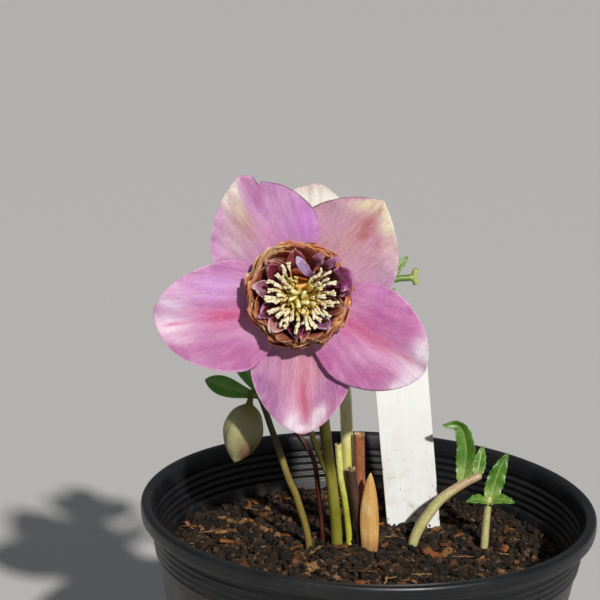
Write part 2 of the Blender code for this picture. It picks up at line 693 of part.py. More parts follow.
def build_bud():
    make_object("bud", bud_shape((-32.6, -3.6, 126.8), (-36.5, -6.8, 111.5), 4.9),
                material("bud_cream_green", (0.52, 0.50, 0.26), 0.5))
    green = material("bract_green", (0.05, 0.14, 0.02), 0.5)
    left = leaf([(-29.8, -1.6, 128.4), (-34, -2.6, 129.6), (-39, -4.0, 131.4), (-44.6, -5, 133.6)],
                2.7, (0, -1, 0.5), late=2.2)
    upper = leaf([(-29.8, -1.6, 128.4), (-31.8, -1.2, 132), (-34.2, -0.6, 136), (-36, 0, 139)],
                 2.5, (0, -1, 0.2), late=1.9)
    fused("bud_stem", [stalk(BUD_STEM, (1.0, 0.95, 0.8, 0.75), 20, 6), left, upper], green)
    red = material("stalk_red_brown", (0.13, 0.035, 0.015), 0.5)
    folded = leaf([(-26.2, 4.1, 127.6), (-28, 4.6, 133), (-28.4, 5.4, 139)], 2.4, (0, -1, 0))
    fused("red_stalk", [stalk(RED_STALK, (0.75, 0.7, 0.65), 12, 6), folded], red)


def build_crown():
    make_object("stub_pale", stalk(PALE_STUB, (0.8, 0.9, 0.95), 8, 8),
                material("stub_pale", (0.66, 0.60, 0.22), 0.6))
    make_object("stub_dark", stalk(DARK_STUB, (1.0, 1.2, 1.3), 6, 8),
                material("stub_dark", (0.06, 0.04, 0.025), 0.8))
    make_object("stub_rusty", stalk(RUSTY_STUB, (1.2, 1.4, 1.5), 6, 8),
                material("stub_rusty", (0.40, 0.16, 0.05), 0.8))
    make_object("sheath", leaf(SHEATH, 2.6, (0, -1, 0), -0.35, rows=6, columns=4, thickness=0.9, late=1.3),
                material("sheath_tan", (0.70, 0.46, 0.20), 0.7))


def build_young_leaves():
    green = material("young_leaf_green", (0.14, 0.24, 0.04), 0.5)
    blades = [
        leaf([(26.2, 8.6, 101.6), (26.9, 9.6, 107), (26.9, 10, 113), (24.9, 10, 118.2), (20.0, 9.4, 118.6)],
             2.7, (-0.2, -1, 0), 0.5, 0.15, 9),
        leaf([(30.2, 9, 104), (31.0, 11.5, 107.5), (32.0, 14, 111.5)], 2.0, (0, -1, 0.3), 0.4, 0.2, 6),
        leaf([(29.6, 9, 103.8), (28.5, 12.5, 107), (28.6, 16, 112)], 1.9, (0, -1, 0.5), 0.4, 0.2, 6),
    ]
    fused("young_leaf", [stalk(YOUNG_STALK, (1.3, 1.5, 1.2), 12, 8)] + blades, green)
    blades = [
        leaf([(33.8, 7.8, 97), (35.0, 8.6, 102), (36.4, 9.2, 106.5), (38.6, 10, 111)],
             2.6, (0, -1, 0.1), 0.3, 0.2, 8),
        leaf([(33.8, 7.8, 97), (30.6, 5.5, 98.6), (27.2, 4, 98.4)], 1.9, (0, -0.6, 1), 0.3, 0.2, 6),
        leaf([(33.9, 7.8, 97), (37, 6, 98.6), (40.6, 5, 98.2)], 1.9, (0, -0.6, 1), 0.3, 0.2, 6),
    ]
    fused("young_leaf_right", [stalk(SECOND_STALK, (1.0, 1.1, 1.0), 6, 8)] + blades, green)


clear_scene()
build_pot_and_soil()
build_main_bloom()
build_back_bloom()
build_bud()
build_crown()
build_young_leaves()
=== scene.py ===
"""Looks of the potted hellebore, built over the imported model.

Sizes are in millimetres and become metres when a mesh is made. Routes, outlines and places repeat
those of the part's source, so that each fine piece lies where its plain solid is.
"""

import json
import math
import random

import bpy
import numpy as np
from mathutils import Matrix, Vector

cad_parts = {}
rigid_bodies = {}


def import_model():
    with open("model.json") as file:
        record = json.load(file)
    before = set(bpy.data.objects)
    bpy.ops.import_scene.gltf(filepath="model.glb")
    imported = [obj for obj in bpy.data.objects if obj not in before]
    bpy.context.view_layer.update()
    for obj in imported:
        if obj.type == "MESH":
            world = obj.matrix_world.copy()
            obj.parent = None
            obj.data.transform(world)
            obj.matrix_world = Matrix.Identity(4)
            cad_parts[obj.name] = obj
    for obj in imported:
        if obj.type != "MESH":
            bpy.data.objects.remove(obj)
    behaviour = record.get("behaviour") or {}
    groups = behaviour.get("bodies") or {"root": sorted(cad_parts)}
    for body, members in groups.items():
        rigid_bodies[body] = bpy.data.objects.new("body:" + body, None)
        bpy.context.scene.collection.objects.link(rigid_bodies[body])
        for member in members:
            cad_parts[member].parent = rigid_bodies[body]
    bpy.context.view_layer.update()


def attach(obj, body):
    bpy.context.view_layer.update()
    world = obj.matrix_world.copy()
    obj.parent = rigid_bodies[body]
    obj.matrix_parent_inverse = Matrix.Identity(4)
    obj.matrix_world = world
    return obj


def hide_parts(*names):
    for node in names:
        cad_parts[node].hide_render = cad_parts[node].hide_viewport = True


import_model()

MM = 0.001
# How much brighter than its own colour a surface looks in the key light
KEY_GAIN = 1.31

# Camera at the photograph's viewing angle
CAMERA_PLACE = Vector((-20.09, -429.37, 253.96))
CAMERA_DOWN_DEG = 13.0
CAMERA_ROLL_DEG = 1.7
CAMERA_LENS = 100.0
CAMERA_SENSOR = 36.0
CAMERA_CLIP = 0.01

# Light and floor
KEY_ENERGY = 3.75
KEY_ANGLE_DEG = 2.2
KEY_COLOUR = (1.0, 0.975, 0.94)
KEY_TURN_DEG = (57, 0, 21)
DOME_COLOUR = (0.92, 0.96, 1.0, 1)
DOME_STRENGTH = 0.17
FLOOR_REACH = 12

# Pot
POT_HEIGHT = 100.0
POT_BASE_RADIUS = 41.0
POT_TOP_RADIUS = 59.6
POT_WALL = 1.2
POT_WAIST_Z = 40
POT_SIDES = 144
LIP_RADIUS = 61.5
LIP_DEPTH = 4.2
RIB_PITCH = 2.0
RIB_RISE = 0.45
RIB_COUNT = 5
DRAIN_HOLES = 6
DRAIN_RADIUS = 3.5
DRAIN_CIRCLE = 28.0

# Soil and label
SOIL_GAP = 0.3
SOIL_EDGE_Z = 83.6
SOIL_CROWN_Z = 86.2
CHIP_COUNT = 18
CHIP_CELLS = (6, 4, 2)
CHIP_CLEARANCE = 7
SMALL_CHIP_TRIES = 150
SMALL_CHIP_CLEARANCE = 3.5
CRUMB_COUNT = 3200
STRAW_COUNT = 46
SOIL_RINGS = 110
SOIL_SIDES = 220
LABEL_WIDTH = 15.0
LABEL_LENGTH = 120.0
LABEL_THICKNESS = 0.8
LABEL_LEAN_DEG = 7.0
LABEL_TOP = Vector((7.0, 20.0, 144.0))

# Blooms
BLOOM_CENTRE = Vector((-20.4, -20.0, 160.7))
BLOOM_TILT_DEG = 9.0
BACK_CENTRE = Vector((-17.0, 10.5, 160.4))
BACK_TILT_DEG = 20.0
SEPAL_THICKNESS = 0.6
SEPAL_FINE = (120, 96)
BACK_SEPAL_FINE = (80, 60)
SEPAL_ROOT = 2.6
BACK_SEPAL_ROOT = 3.8
LAYER_STEP = 1.3
POST_RADIUS = 2.2
# Slopes in degrees of the bowl at its middle and at the sepals' tips
BLOOM_OPENING = (3, 13)
BACK_OPENING = (12, 62)
# Notch in the tip of the top left sepal: place across it, and depth
NOTCH = (-3.3, 2.3)

# name, tip angle, length, width towards larger angles, width towards smaller, layer, widest, narrowing
SEPALS = (
    ("sepal_top_left", 118, 34.0, 15.6, 13.2, 1, 0.47, 0.77),
    ("sepal_top_right", 50, 32.0, 12.5, 15.8, 0, 0.50, 0.84),
    ("sepal_right", -29, 37.2, 13.7, 13.5, 2, 0.50, 0.54),
    ("sepal_bottom", -87, 34.9, 13.4, 12.7, 0, 0.48, 0.61),
    ("sepal_left", 190, 37.2, 17.0, 11.8, 2, 0.42, 0.48),
)
BACK_SEPALS = (
    ("back_sepal_top", 88.5, 26.0, 12.5, 12.5, 2, 0.55, 0.55),
    ("back_sepal_left", 164, 24.5, 11.5, 11.0, 0, 0.50, 0.65),
    ("back_sepal_right", 20, 25.0, 11.0, 12.0, 0, 0.50, 0.65),
    ("back_sepal_low_left", 236, 24.5, 11.0, 11.5, 2, 0.50, 0.60),
    ("back_sepal_low_right", 308, 24.5, 11.5, 11.0, 1, 0.50, 0.65),
)

# Bud: five lapping sepals, each with this many points round it, and (share of the radius, share of
# the length) from its stalk to its tip
BUD_BASE = Vector((-32.5, -3.6, 126.8))
BUD_TIP = Vector((-36.2, -6.8, 111.5))
BUD_RADIUS = 5.25
BUD_SECTOR = 20
BUD_OUTLINE = ((0, 0), (0.36, 0.03), (0.78, 0.16), (1.0, 0.38), (0.98, 0.55), (0.72, 0.77), (0.3, 0.93),
               (0.02, 1))

# Stalk routes
MAIN_STEM = ((-8.0, 0.5, 66), (-8.0, 0.5, 86), (-9.5, -1, 100.7), (-11.4, -4, 113.4),
             (-12.6, -7, 122.4), (-15, -10.5, 136), (-18.6, -12.6, 149), (-20.3, -13.0, 156.5),
             (-20.4, -16.2, 160.1))
SIDE_STALK = ((-10.3, -2.2, 106), (-12.8, -3.6, 111.2), (-15.9, -6, 119.8), (-18.6, -8.5, 129),
              (-20.5, -9.5, 137))
BACK_STEM = ((-4.8, 6.4, 66), (-4.8, 6.4, 86), (-5.7, 7, 107.4), (-6.9, 9, 126), (-8.9, 7.6, 140),
             (-13.0, 4.2, 151), (-16.4, 3.2, 156.5), (-17.0, 7.0, 158.0))
BUD_STEM = ((-15.6, -1.0, 68), (-15.6, -1.0, 86), (-19.2, -2, 99.8), (-21.8, -2.2, 106),
            (-24.2, -1.8, 112.7), (-26.4, -1.0, 118.5), (-29.4, -0.6, 126.6), (-31.0, -1.0, 129.2),
            (-32.3, -2.2, 129.6), (-32.6, -3.4, 127.4))
RED_STALK = ((-11.8, 4.6, 68), (-11.8, 4.6, 86), (-13.2, 3.6, 98), (-14.8, 2.6, 108.9),
             (-17.3, 2.4, 113.9), (-19.6, 2.6, 116.9), (-23.5, 3.5, 122.6), (-26.5, 4.2, 128.5))
PALE_STUB = ((-4.6, 2.5, 68), (-4.6, 2.5, 86), (-6.2, 2.6, 98.3), (-7.6, 2.6, 105.2),
             (-8.6, 2.6, 114.9))
DARK_STUB = ((-1.4, 0.6, 68), (-1.4, 0.6, 86), (-3.4, 0.8, 99.1), (-5.2, 0.8, 108.8))
RUSTY_STUB = ((-0.6, 4.6, 68), (-0.6, 4.6, 86), (-2.3, 4.5, 104.7), (-3.0, 5.0, 117.6))
SHEATH = ((0.9, -2.7, 68), (0.9, -2.7, 86), (0.4, -2.7, 97), (0.3, -2.2, 108.2))
YOUNG_STALK = ((13.0, 5.0, 66), (13.0, 5.0, 82), (13.5, 5.2, 87), (16.0, 6.0, 92), (20.4, 7, 97.9),
               (26.0, 8.2, 101.9), (30.6, 9, 104.2))
SECOND_STALK = ((33.0, 6.4, 66), (33.0, 6.4, 82), (33.1, 6.6, 87), (33.4, 7.4, 93), (33.8, 8, 98))

# x and y of each stalk where it enters the soil
BURIED = [route[0][:2] for route in (MAIN_STEM, BACK_STEM, BUD_STEM, RED_STALK, PALE_STUB, DARK_STUB,
                                     RUSTY_STUB, SHEATH, YOUNG_STALK, SECOND_STALK)]


# Meshes: a shape is (points, faces, place), where place holds each point's own two coordinates on
# its petal or stalk, a number of its own for that petal or stalk, and 1 or -1 on a blade's two faces

def joined(shapes):
    points, faces, place, start = [], [], [], 0
    for shape_points, shape_faces, shape_place in shapes:
        points.append(np.asarray(shape_points, float))
        place.append(np.asarray(shape_place, float))
        faces += [tuple(i + start for i in face) for face in shape_faces]
        start += len(shape_points)
    return np.concatenate(points), faces, np.concatenate(place)


def moved(shape, matrix):
    points, faces, place = shape
    turn, shift = np.array(matrix.to_3x3()), np.array(matrix.translation)
    return points @ turn.T + shift, faces, place


def srgb(*colours):
    """Linear surface colours from 0 to 255 values as they look on a screen in the key light."""
    shares = np.asarray(colours, float) / 255
    return np.where(shares <= 0.04045, shares / 12.92, ((shares + 0.055) / 1.055) ** 2.4) / KEY_GAIN


def paint(shape, base, *layers):
    """A colour for each point of the shape: the base, then each (colour, mask) laid over it."""
    tint = np.tile(srgb(base)[0], (len(shape[0]), 1))
    for colour, mask in layers:
        tint += (srgb(colour)[0] - tint) * np.clip(mask, 0, 1)[:, None]
    return tint


def ramp(value, low, high):
    """0 at low, 1 at high, smooth between."""
    t = np.clip((value - low) / (high - low), 0, 1)
    return t * t * (3 - 2 * t)


def mottle(points, size, seed):
    """Smooth noise from -1 to 1 whose patches are about this size."""
    draw = np.random.default_rng(seed)
    total = np.zeros(len(points))
    for _ in range(7):
        direction = draw.normal(size=3)
        direction *= math.pi / size / np.linalg.norm(direction) * draw.uniform(0.6, 1.5)
        total += np.sin(points @ direction + draw.uniform(0, 2 * math.pi))
    return total / 3.2


def make_piece(name, shape, mat, tint, nodes=(), smooth=True):
    """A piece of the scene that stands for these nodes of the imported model."""
    points, faces, place = shape
    mesh = bpy.data.meshes.new(name)
    mesh.from_pydata((points * MM).tolist(), [], faces)
    if smooth:
        mesh.shade_smooth()
    colours = mesh.attributes.new("tint", "FLOAT_COLOR", "POINT")
    colours.data.foreach_set("color", np.column_stack([tint, np.ones(len(points))]).ravel())
    places = mesh.attributes.new("place", "FLOAT_VECTOR", "POINT")
    places.data.foreach_set("vector", place[:, :3].ravel())
    mesh.materials.append(mat)
    obj = bpy.data.objects.new(name, mesh)
    bpy.context.scene.collection.objects.link(obj)
    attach(obj, "root")
    if nodes:
        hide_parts(*nodes)
    return obj


def dress(node, shape, mat, tint):
    """The piece that stands for one node of the record, with the given material."""
    make_piece(node + "_fine", shape, mat, tint, [node])


def put(heap, shape, base, *layers):
    """Adds the shape and its tint to the heap."""
    heap.append((shape, paint(shape, base, *layers)))


def gathered(heap):
    """All the shapes of the heap as one, and their tints as one."""
    shapes, tints = zip(*heap)
    return joined(shapes), np.concatenate(tints)


def bands(count, sides, flipped=False):
    """Quads between rings of points that follow one another."""
    faces = []
    for low in range(0, (count - 1) * sides, sides):
        for k in range(sides):
            m = (k + 1) % sides
            quad = (low + k, low + m, low + sides + m, low + sides + k)
            faces.append((quad[0], quad[3], quad[2], quad[1]) if flipped else quad)
    return faces


def end_caps(count, sides):
    """The first and the last ring as flat faces."""
    return [tuple(reversed(range(sides))), tuple(range((count - 1) * sides, count * sides))]


def curve_through(points, count):
    """Count + 1 points on a smooth curve through the given ones."""
    known = np.asarray(points, float)
    ends = np.vstack([2 * known[0] - known[1], known, 2 * known[-1] - known[-2]])
    spans = len(known) - 1
    place = np.linspace(0, spans, count + 1)
    k = np.minimum(place.astype(int), spans - 1)
    t = (place - k)[:, None]
    a, b, c, d = ends[k], ends[k + 1], ends[k + 2], ends[k + 3]
    return 0.5 * (2 * b + (c - a) * t + (2 * a - 5 * b + 4 * c - d) * t ** 2
                  + (3 * b - a - 3 * c + d) * t ** 3)


def between(samples, u):
    """The sample at each share u of the way, drawn evenly between its two neighbours."""
    last = len(samples) - 1
    k = np.clip(u * last, 0, last - 0.001)
    low, part = k.astype(int), (k - k.astype(int))[..., None]
    return samples[low] * (1 - part) + samples[low + 1] * part


def directions(path):
    """The unit direction of the path at each of its points."""
    ahead = np.gradient(path, axis=0)
    return ahead / np.linalg.norm(ahead, axis=1)[:, None]


def tube(path, radii, sides, seed=0.0, ridges=0, ridge_rise=0.0, domed=False):
    """A round closed body along the path, with one radius for each point of it."""
    path, radii = np.asarray(path, float), np.asarray(radii, float)
    if domed:
        ahead = (path[-1] - path[-2]) / np.linalg.norm(path[-1] - path[-2])
        turns = np.array((0.5, 1.0, 1.4))
        path = np.vstack([path, path[-1] + np.outer(radii[-1] * np.sin(turns), ahead)])
        radii = np.append(radii, radii[-1] * np.cos(turns))
    count = len(path)
    tangents = directions(path)
    side = np.array(Vector(tangents[0]).orthogonal().normalized())
    around = np.arange(sides) * 2 * math.pi / sides
    swell = 1 + ridge_rise * np.cos(ridges * around)
    rings = []
    for i in range(count):
        side = side - tangents[i] * (side @ tangents[i])
        side /= np.linalg.norm(side)
        up = np.cross(tangents[i], side)
        rings.append(path[i] + radii[i] * swell[:, None]
                     * (np.cos(around)[:, None] * side + np.sin(around)[:, None] * up))
    points = np.concatenate(rings)
    place = np.column_stack([np.repeat(np.linspace(0, 1, count), sides),
                             np.tile(around / math.pi - 1, count), np.full(len(points), seed),
                             np.zeros(len(points))])
    return points, bands(count, sides) + end_caps(count, sides), place


def turned(profile, sides):
    """A closed profile of (radius, z) turned about +Z. A radius of 0 makes a pole."""
    around = np.arange(sides) * 2 * math.pi / sides
    points, rings, place = [], [], []
    for share, (radius, z) in zip(np.linspace(0, 1, len(profile)), profile):
        many = 1 if radius == 0 else sides
        rings.append([len(points)] * sides if many == 1 else list(range(len(points), len(points) + sides)))
        for turn in around[:many]:
            points.append((radius * math.cos(turn), radius * math.sin(turn), z))
            place.append((share, turn / math.pi - 1, 0, 0))
    if profile[0][0] != 0:
        rings.append(rings[0])
    faces = []
    for low, high in zip(rings, rings[1:]):
        for k in range(sides):
            m = (k + 1) % sides
            faces.append(tuple(dict.fromkeys((low[k], low[m], high[m], high[k]))))
    return np.array(points), faces, np.array(place)


def blade(surface, rows, columns, thickness, seed=0.0):
    """A thin closed solid about surface(u, v), with rounded edges.

    u runs from root 0 to tip 1 and v from -1 to 1 across. Its root and its tip close as flat caps."""
    u = np.linspace(0, 0.998, rows + 1)[:, None] + np.zeros((1, columns + 1))
    v = np.sin(np.linspace(-1, 1, columns + 1) * math.pi / 2)[None, :] + np.zeros((rows + 1, 1))
    middle = surface(u, v)
    normal = np.cross(np.gradient(middle, axis=0), np.gradient(middle, axis=1))
    normal /= np.maximum(np.linalg.norm(normal, axis=2), 1e-9)[..., None]
    half = thickness / 2 * np.sqrt(np.clip(1 - np.abs(v) ** 5, 0, 1)) * np.sqrt(1.02 - u ** 16)
    front, back = middle + normal * half[..., None], middle - normal * half[..., None]
    loops = np.concatenate([front, back[:, columns - 1:0:-1]], axis=1)
    u_loop = np.concatenate([u, u[:, columns - 1:0:-1]], axis=1)
    v_loop = np.concatenate([v, v[:, columns - 1:0:-1]], axis=1)
    size = 2 * columns
    faces = bands(rows + 1, size, flipped=True)
    top = rows * size
    for k in range(columns):
        a, b = (size - k) % size, size - k - 1
        faces.append((k, k + 1, b, a) if a != k and b != k + 1 else
                     ((k, k + 1, b) if a == k else (k, k + 1, a)))
        faces.append(tuple(reversed([top + i for i in faces[-1]])))
    side = np.where(np.arange(u_loop.size) % size <= columns, 1, -1)
    place = np.column_stack([u_loop.ravel(), v_loop.ravel(), np.full(u_loop.size, seed), side])
    return loops.reshape(-1, 3), faces, place


def leaf(path, half_width, facing, fold=0.25, teeth=0.0, half_teeth=8, thickness=0.5, late=0.8,
         fine=(48, 14), crinkle=0.0, seed=0.0):
    """A leaf along a curved midrib, folded up at its sides. Teeth is the depth of its toothed edge as
    a share of its half width, half_teeth is twice the count of teeth on a side, and a higher late sets
    its widest part further out."""
    facing = np.asarray(facing, float) / np.linalg.norm(facing)
    samples = curve_through(path, 200)
    tangents = directions(samples)

    def surface(u, v):
        ahead = between(tangents, u)
        across = np.cross(ahead, facing)
        across /= np.linalg.norm(across, axis=2)[..., None]
        up = np.cross(across, ahead)
        swell = np.clip(np.sin(math.pi * (u ** late * 0.94 + 0.06)), 0, 1) ** 0.7
        tooth = (u * half_teeth / 2 + 0.25) % 1
        reach = half_width * swell * (1 - teeth * np.where(u < 0.95, tooth, 0) * np.abs(v) ** 2)
        ripple = crinkle * np.sin(u * 23 + seed * 5 + 2 * np.sign(v)) * np.abs(v) ** 2
        lift = np.abs(v) * reach * fold + ripple
        return between(samples, u) + across * (v * reach)[..., None] + up * lift[..., None]

    return blade(surface, *fine, thickness, seed)


# Materials

class Look:
    """A material being built: each method adds a node and gives back its output."""

    def __init__(self, name, **sockets):
        """Sets the shader's own sockets and takes the coordinates in millimetres."""
        self.mat = bpy.data.materials.new(name)
        self.mat.use_nodes = True
        self.tree = self.mat.node_tree
        self.shader = self.tree.nodes["Principled BSDF"]
        for key, value in sockets.items():
            self.shader.inputs[key.replace("_", " ")].default_value = value
        metres = self.add("TexCoord", "Object")
        self.where = self.add("VectorMath", 0, {0: metres, "Scale": 1 / MM}, operation="SCALE")

    def add(self, kind, output, sockets=None, **settings):
        """Sets the node, and sets or links each of its named or numbered sockets."""
        node = self.tree.nodes.new("ShaderNode" + kind)
        for key, value in settings.items():
            setattr(node, key, value)
        for key, value in (sockets or {}).items():
            if isinstance(value, bpy.types.NodeSocket):
                self.tree.links.new(value, node.inputs[key])
            else:
                node.inputs[key].default_value = value
        return node.outputs[output]

    def noise(self, scale, detail=4.0, distortion=0.0, vector=None):
        return self.add("TexNoise", "Fac", {"Vector": vector or self.where, "Scale": scale,
                                            "Detail": detail, "Distortion": distortion})

    def stretched_noise(self, vector, factors, detail, distortion=0.0):
        longer = self.add("VectorMath", 0, {0: vector, 1: factors}, operation="MULTIPLY")
        return self.noise(1.0, detail, distortion, longer)

    def spread(self, value, low, high, to_low, to_high):
        """The value carried from one range to another, and held at its ends."""
        return self.add("MapRange", "Result", {"Value": value, "From Min": low, "From Max": high,
                                               "To Min": to_low, "To Max": to_high})

    def swing(self, value, to_low, to_high):
        """The usual range of a noise carried to another."""
        return self.spread(value, 0.3, 0.7, to_low, to_high)

    def maths(self, kind, first, second):
        return self.add("Math", 0, {0: first, 1: second}, operation=kind)

    def blend(self, factor, first, second, kind="MIX"):
        return self.add("Mix", 2, {0: factor, 6: first, 7: second}, data_type="RGBA", blend_type=kind)

    def cover(self, under, over, value, low, high, most=1.0, least=0.0):
        """One colour over another, from least to most while the value goes from low to high."""
        return self.blend(self.spread(value, low, high, least, most), under, over)

    def tinted(self, shade):
        """The piece's own tint times a shade of grey."""
        tint = self.add("Attribute", "Color", attribute_name="tint")
        grey = self.add("CombineColor", 0, {0: shade, 1: shade, 2: shade})
        return self.blend(1.0, tint, grey, "MULTIPLY")

    def finish(self, colour, roughness, heights):
        """Links colour, roughness and a bump for each (height, strength, depth in mm)."""
        self.tree.links.new(colour, self.shader.inputs["Base Color"])
        self.tree.links.new(roughness, self.shader.inputs["Roughness"])
        normal = None
        for height, strength, depth in heights:
            sockets = {"Height": height, "Strength": strength, "Distance": depth * MM}
            if normal:
                sockets["Normal"] = normal
            normal = self.add("Bump", 0, sockets)
        self.tree.links.new(normal, self.shader.inputs["Normal"])
        return self.mat


def plant_material(name, roughness, streaks, streak_depth, grain, grain_depth, bump, veins=None,
                   gloss=0.5, glow=None, **sockets):
    """Living tissue: the piece's own tint, fine streaks along it, cell grain, and if wanted a net
    of dark veins with pale flecks. Glow is the weight, radius and scale of light scattered in it."""
    if glow:
        sockets.update(zip(("Subsurface_Weight", "Subsurface_Radius", "Subsurface_Scale"), glow))
    look = Look(name, Specular_IOR_Level=gloss, **sockets)
    place = look.add("Attribute", "Vector", attribute_name="place")
    streak = look.stretched_noise(place, (*streaks, 9.0), 5.0)
    cells = look.noise(grain, 3.0)
    colour = look.tinted(look.maths(
        "MULTIPLY", look.swing(streak, 1 - streak_depth, 1 + streak_depth * 0.6),
        look.swing(cells, 1 - grain_depth, 1 + grain_depth)))
    if veins:
        dark, pale, frequency = veins
        net = look.stretched_noise(place, (*frequency, 5.0), 2.0, 0.3)
        line = look.maths("ABSOLUTE", look.maths("SUBTRACT", net, 0.5), 0.0)
        colour = look.cover(colour, (*srgb(dark)[0], 1.0), line, 0.0, 0.04, 0.0, 0.24)
        fleck = look.stretched_noise(place, (12.0, 34.0, 3.0), 3.0)
        colour = look.cover(colour, (*srgb(pale)[0], 1.0), fleck, 0.52, 0.75, 0.24)
    rough = look.swing(cells, roughness - 0.08, roughness + 0.08)
    return look.finish(colour, rough, [(streak, 0.5, bump), (cells, 0.35, bump * 0.6)])


def pot_material():
    """Thin black moulded plastic with dust, splashes of soil and fine rubbed lines."""
    look = Look("black_plastic", Specular_IOR_Level=0.38)
    dust = look.noise(0.06, 6.0, 0.4)
    specks = look.noise(1.4, 3.0)
    lines = look.stretched_noise(look.where, (0.05, 0.05, 2.4), 4.0)
    height = look.add("SeparateXYZ", 2, {0: look.where})
    colour = look.cover((0.0042, 0.0046, 0.0056, 1), (0.0095, 0.0108, 0.0135, 1), lines, 0.35, 0.7)
    dusty = look.maths("MULTIPLY", look.spread(dust, 0.45, 0.75, 0.0, 0.4),
                       look.spread(specks, 0.35, 0.7, 0.3, 1.0))
    colour = look.blend(dusty, colour, (0.060, 0.055, 0.048, 1))
    splash = look.maths("MULTIPLY", look.spread(look.noise(0.35, 5.0), 0.52, 0.62, 0.0, 0.7),
                        look.spread(height, 84.0, 92.0, 1.0, 0.0))
    colour = look.blend(splash, colour, (0.035, 0.022, 0.012, 1))
    return look.finish(colour, look.swing(dust, 0.30, 0.52), [(lines, 0.3, 0.06), (specks, 0.25, 0.05)])


def soil_material():
    """Dark peat: grains of several browns, with a rough broken surface."""
    look = Look("soil", Specular_IOR_Level=0.25)
    grains = look.add("TexVoronoi", "Color", {"Vector": look.where, "Scale": 1.1})
    tone = look.add("SeparateColor", 0, {0: grains})
    clods = look.noise(0.35, 6.0)
    colour = look.blend(tone, (0.010, 0.007, 0.005, 1), (0.050, 0.030, 0.018, 1))
    colour = look.cover(colour, (0.19, 0.10, 0.045, 1), tone, 0.86, 0.9, 0.8)
    colour = look.cover(colour, (0.075, 0.047, 0.028, 1), clods, 0.5, 0.7, 0.6)
    return look.finish(colour, look.spread(tone, 0.0, 1.0, 0.78, 0.98),
                       [(grains.node.outputs["Distance"], 0.7, 0.5), (clods, 0.6, 1.0)])


def bark_material():
    """Chips and crumbs: the tint of each one, with wood fibres and soil in the pores."""
    look = Look("bark", Specular_IOR_Level=0.3)
    fibres = look.stretched_noise(look.where, (0.5, 2.6, 1.4), 5.0)
    dirt = look.noise(0.7, 5.0)
    colour = look.tinted(look.swing(fibres, 0.55, 1.2))
    colour = look.cover(colour, (0.022, 0.014, 0.009, 1), dirt, 0.5, 0.64, 0.75)
    return look.finish(colour, look.swing(fibres, 0.7, 0.95), [(fibres, 0.6, 0.25), (dirt, 0.4, 0.2)])


def label_material():
    """White plastic label with soil smudges low down, splashes and a faint weathered grain."""
    look = Look("white_label", Subsurface_Weight=0.08, Subsurface_Scale=0.001)
    height = look.add("SeparateXYZ", 2, {0: look.where})
    grain = look.stretched_noise(look.where, (1.1, 1.1, 0.12), 5.0)
    smear = look.noise(0.13, 6.0, 0.8)
    splash = look.noise(0.75, 3.0)
    colour = look.cover((0.86, 0.87, 0.86, 1), (0.82, 0.835, 0.83, 1), grain, 0.35, 0.7)
    # soil, as (colour, noise, the noise's low and high, most cover, height where it ends)
    marks = (
        ((0.68, 0.61, 0.50, 1), look.noise(0.16, 5.0, 0.2), 0.46, 0.66, 0.6, 90.0, 122.0),
        ((0.36, 0.25, 0.15, 1), smear, 0.52, 0.68, 0.8, 86.0, 108.0),
        ((0.11, 0.07, 0.04, 1), splash, 0.66, 0.70, 0.9, 86.0, 112.0),
    )
    for shade, value, low, high, most, full, gone in marks:
        mask = look.maths("MULTIPLY", look.spread(value, low, high, 0.0, most),
                          look.spread(height, full, gone, 1.0, 0.0))
        colour = look.blend(mask, colour, shade)
    return look.finish(colour, look.swing(smear, 0.34, 0.6), [(grain, 0.25, 0.05), (splash, 0.15, 0.04)])


# Pot, soil and label

def wall_radius(z):
    return POT_BASE_RADIUS + (POT_TOP_RADIUS - POT_BASE_RADIUS) * z / POT_HEIGHT


def rib_profile(inside):
    """Rounded ribs of the band under the lip, from the top down."""
    top = POT_HEIGHT - LIP_DEPTH
    found = []
    for z in np.linspace(top, top - RIB_PITCH * RIB_COUNT, RIB_COUNT * 8 + 1):
        swell = RIB_RISE * math.sin(math.pi * (top - z) / RIB_PITCH) ** 2
        found.append((wall_radius(z) + swell - (POT_WALL if inside else 0), z))
    return found


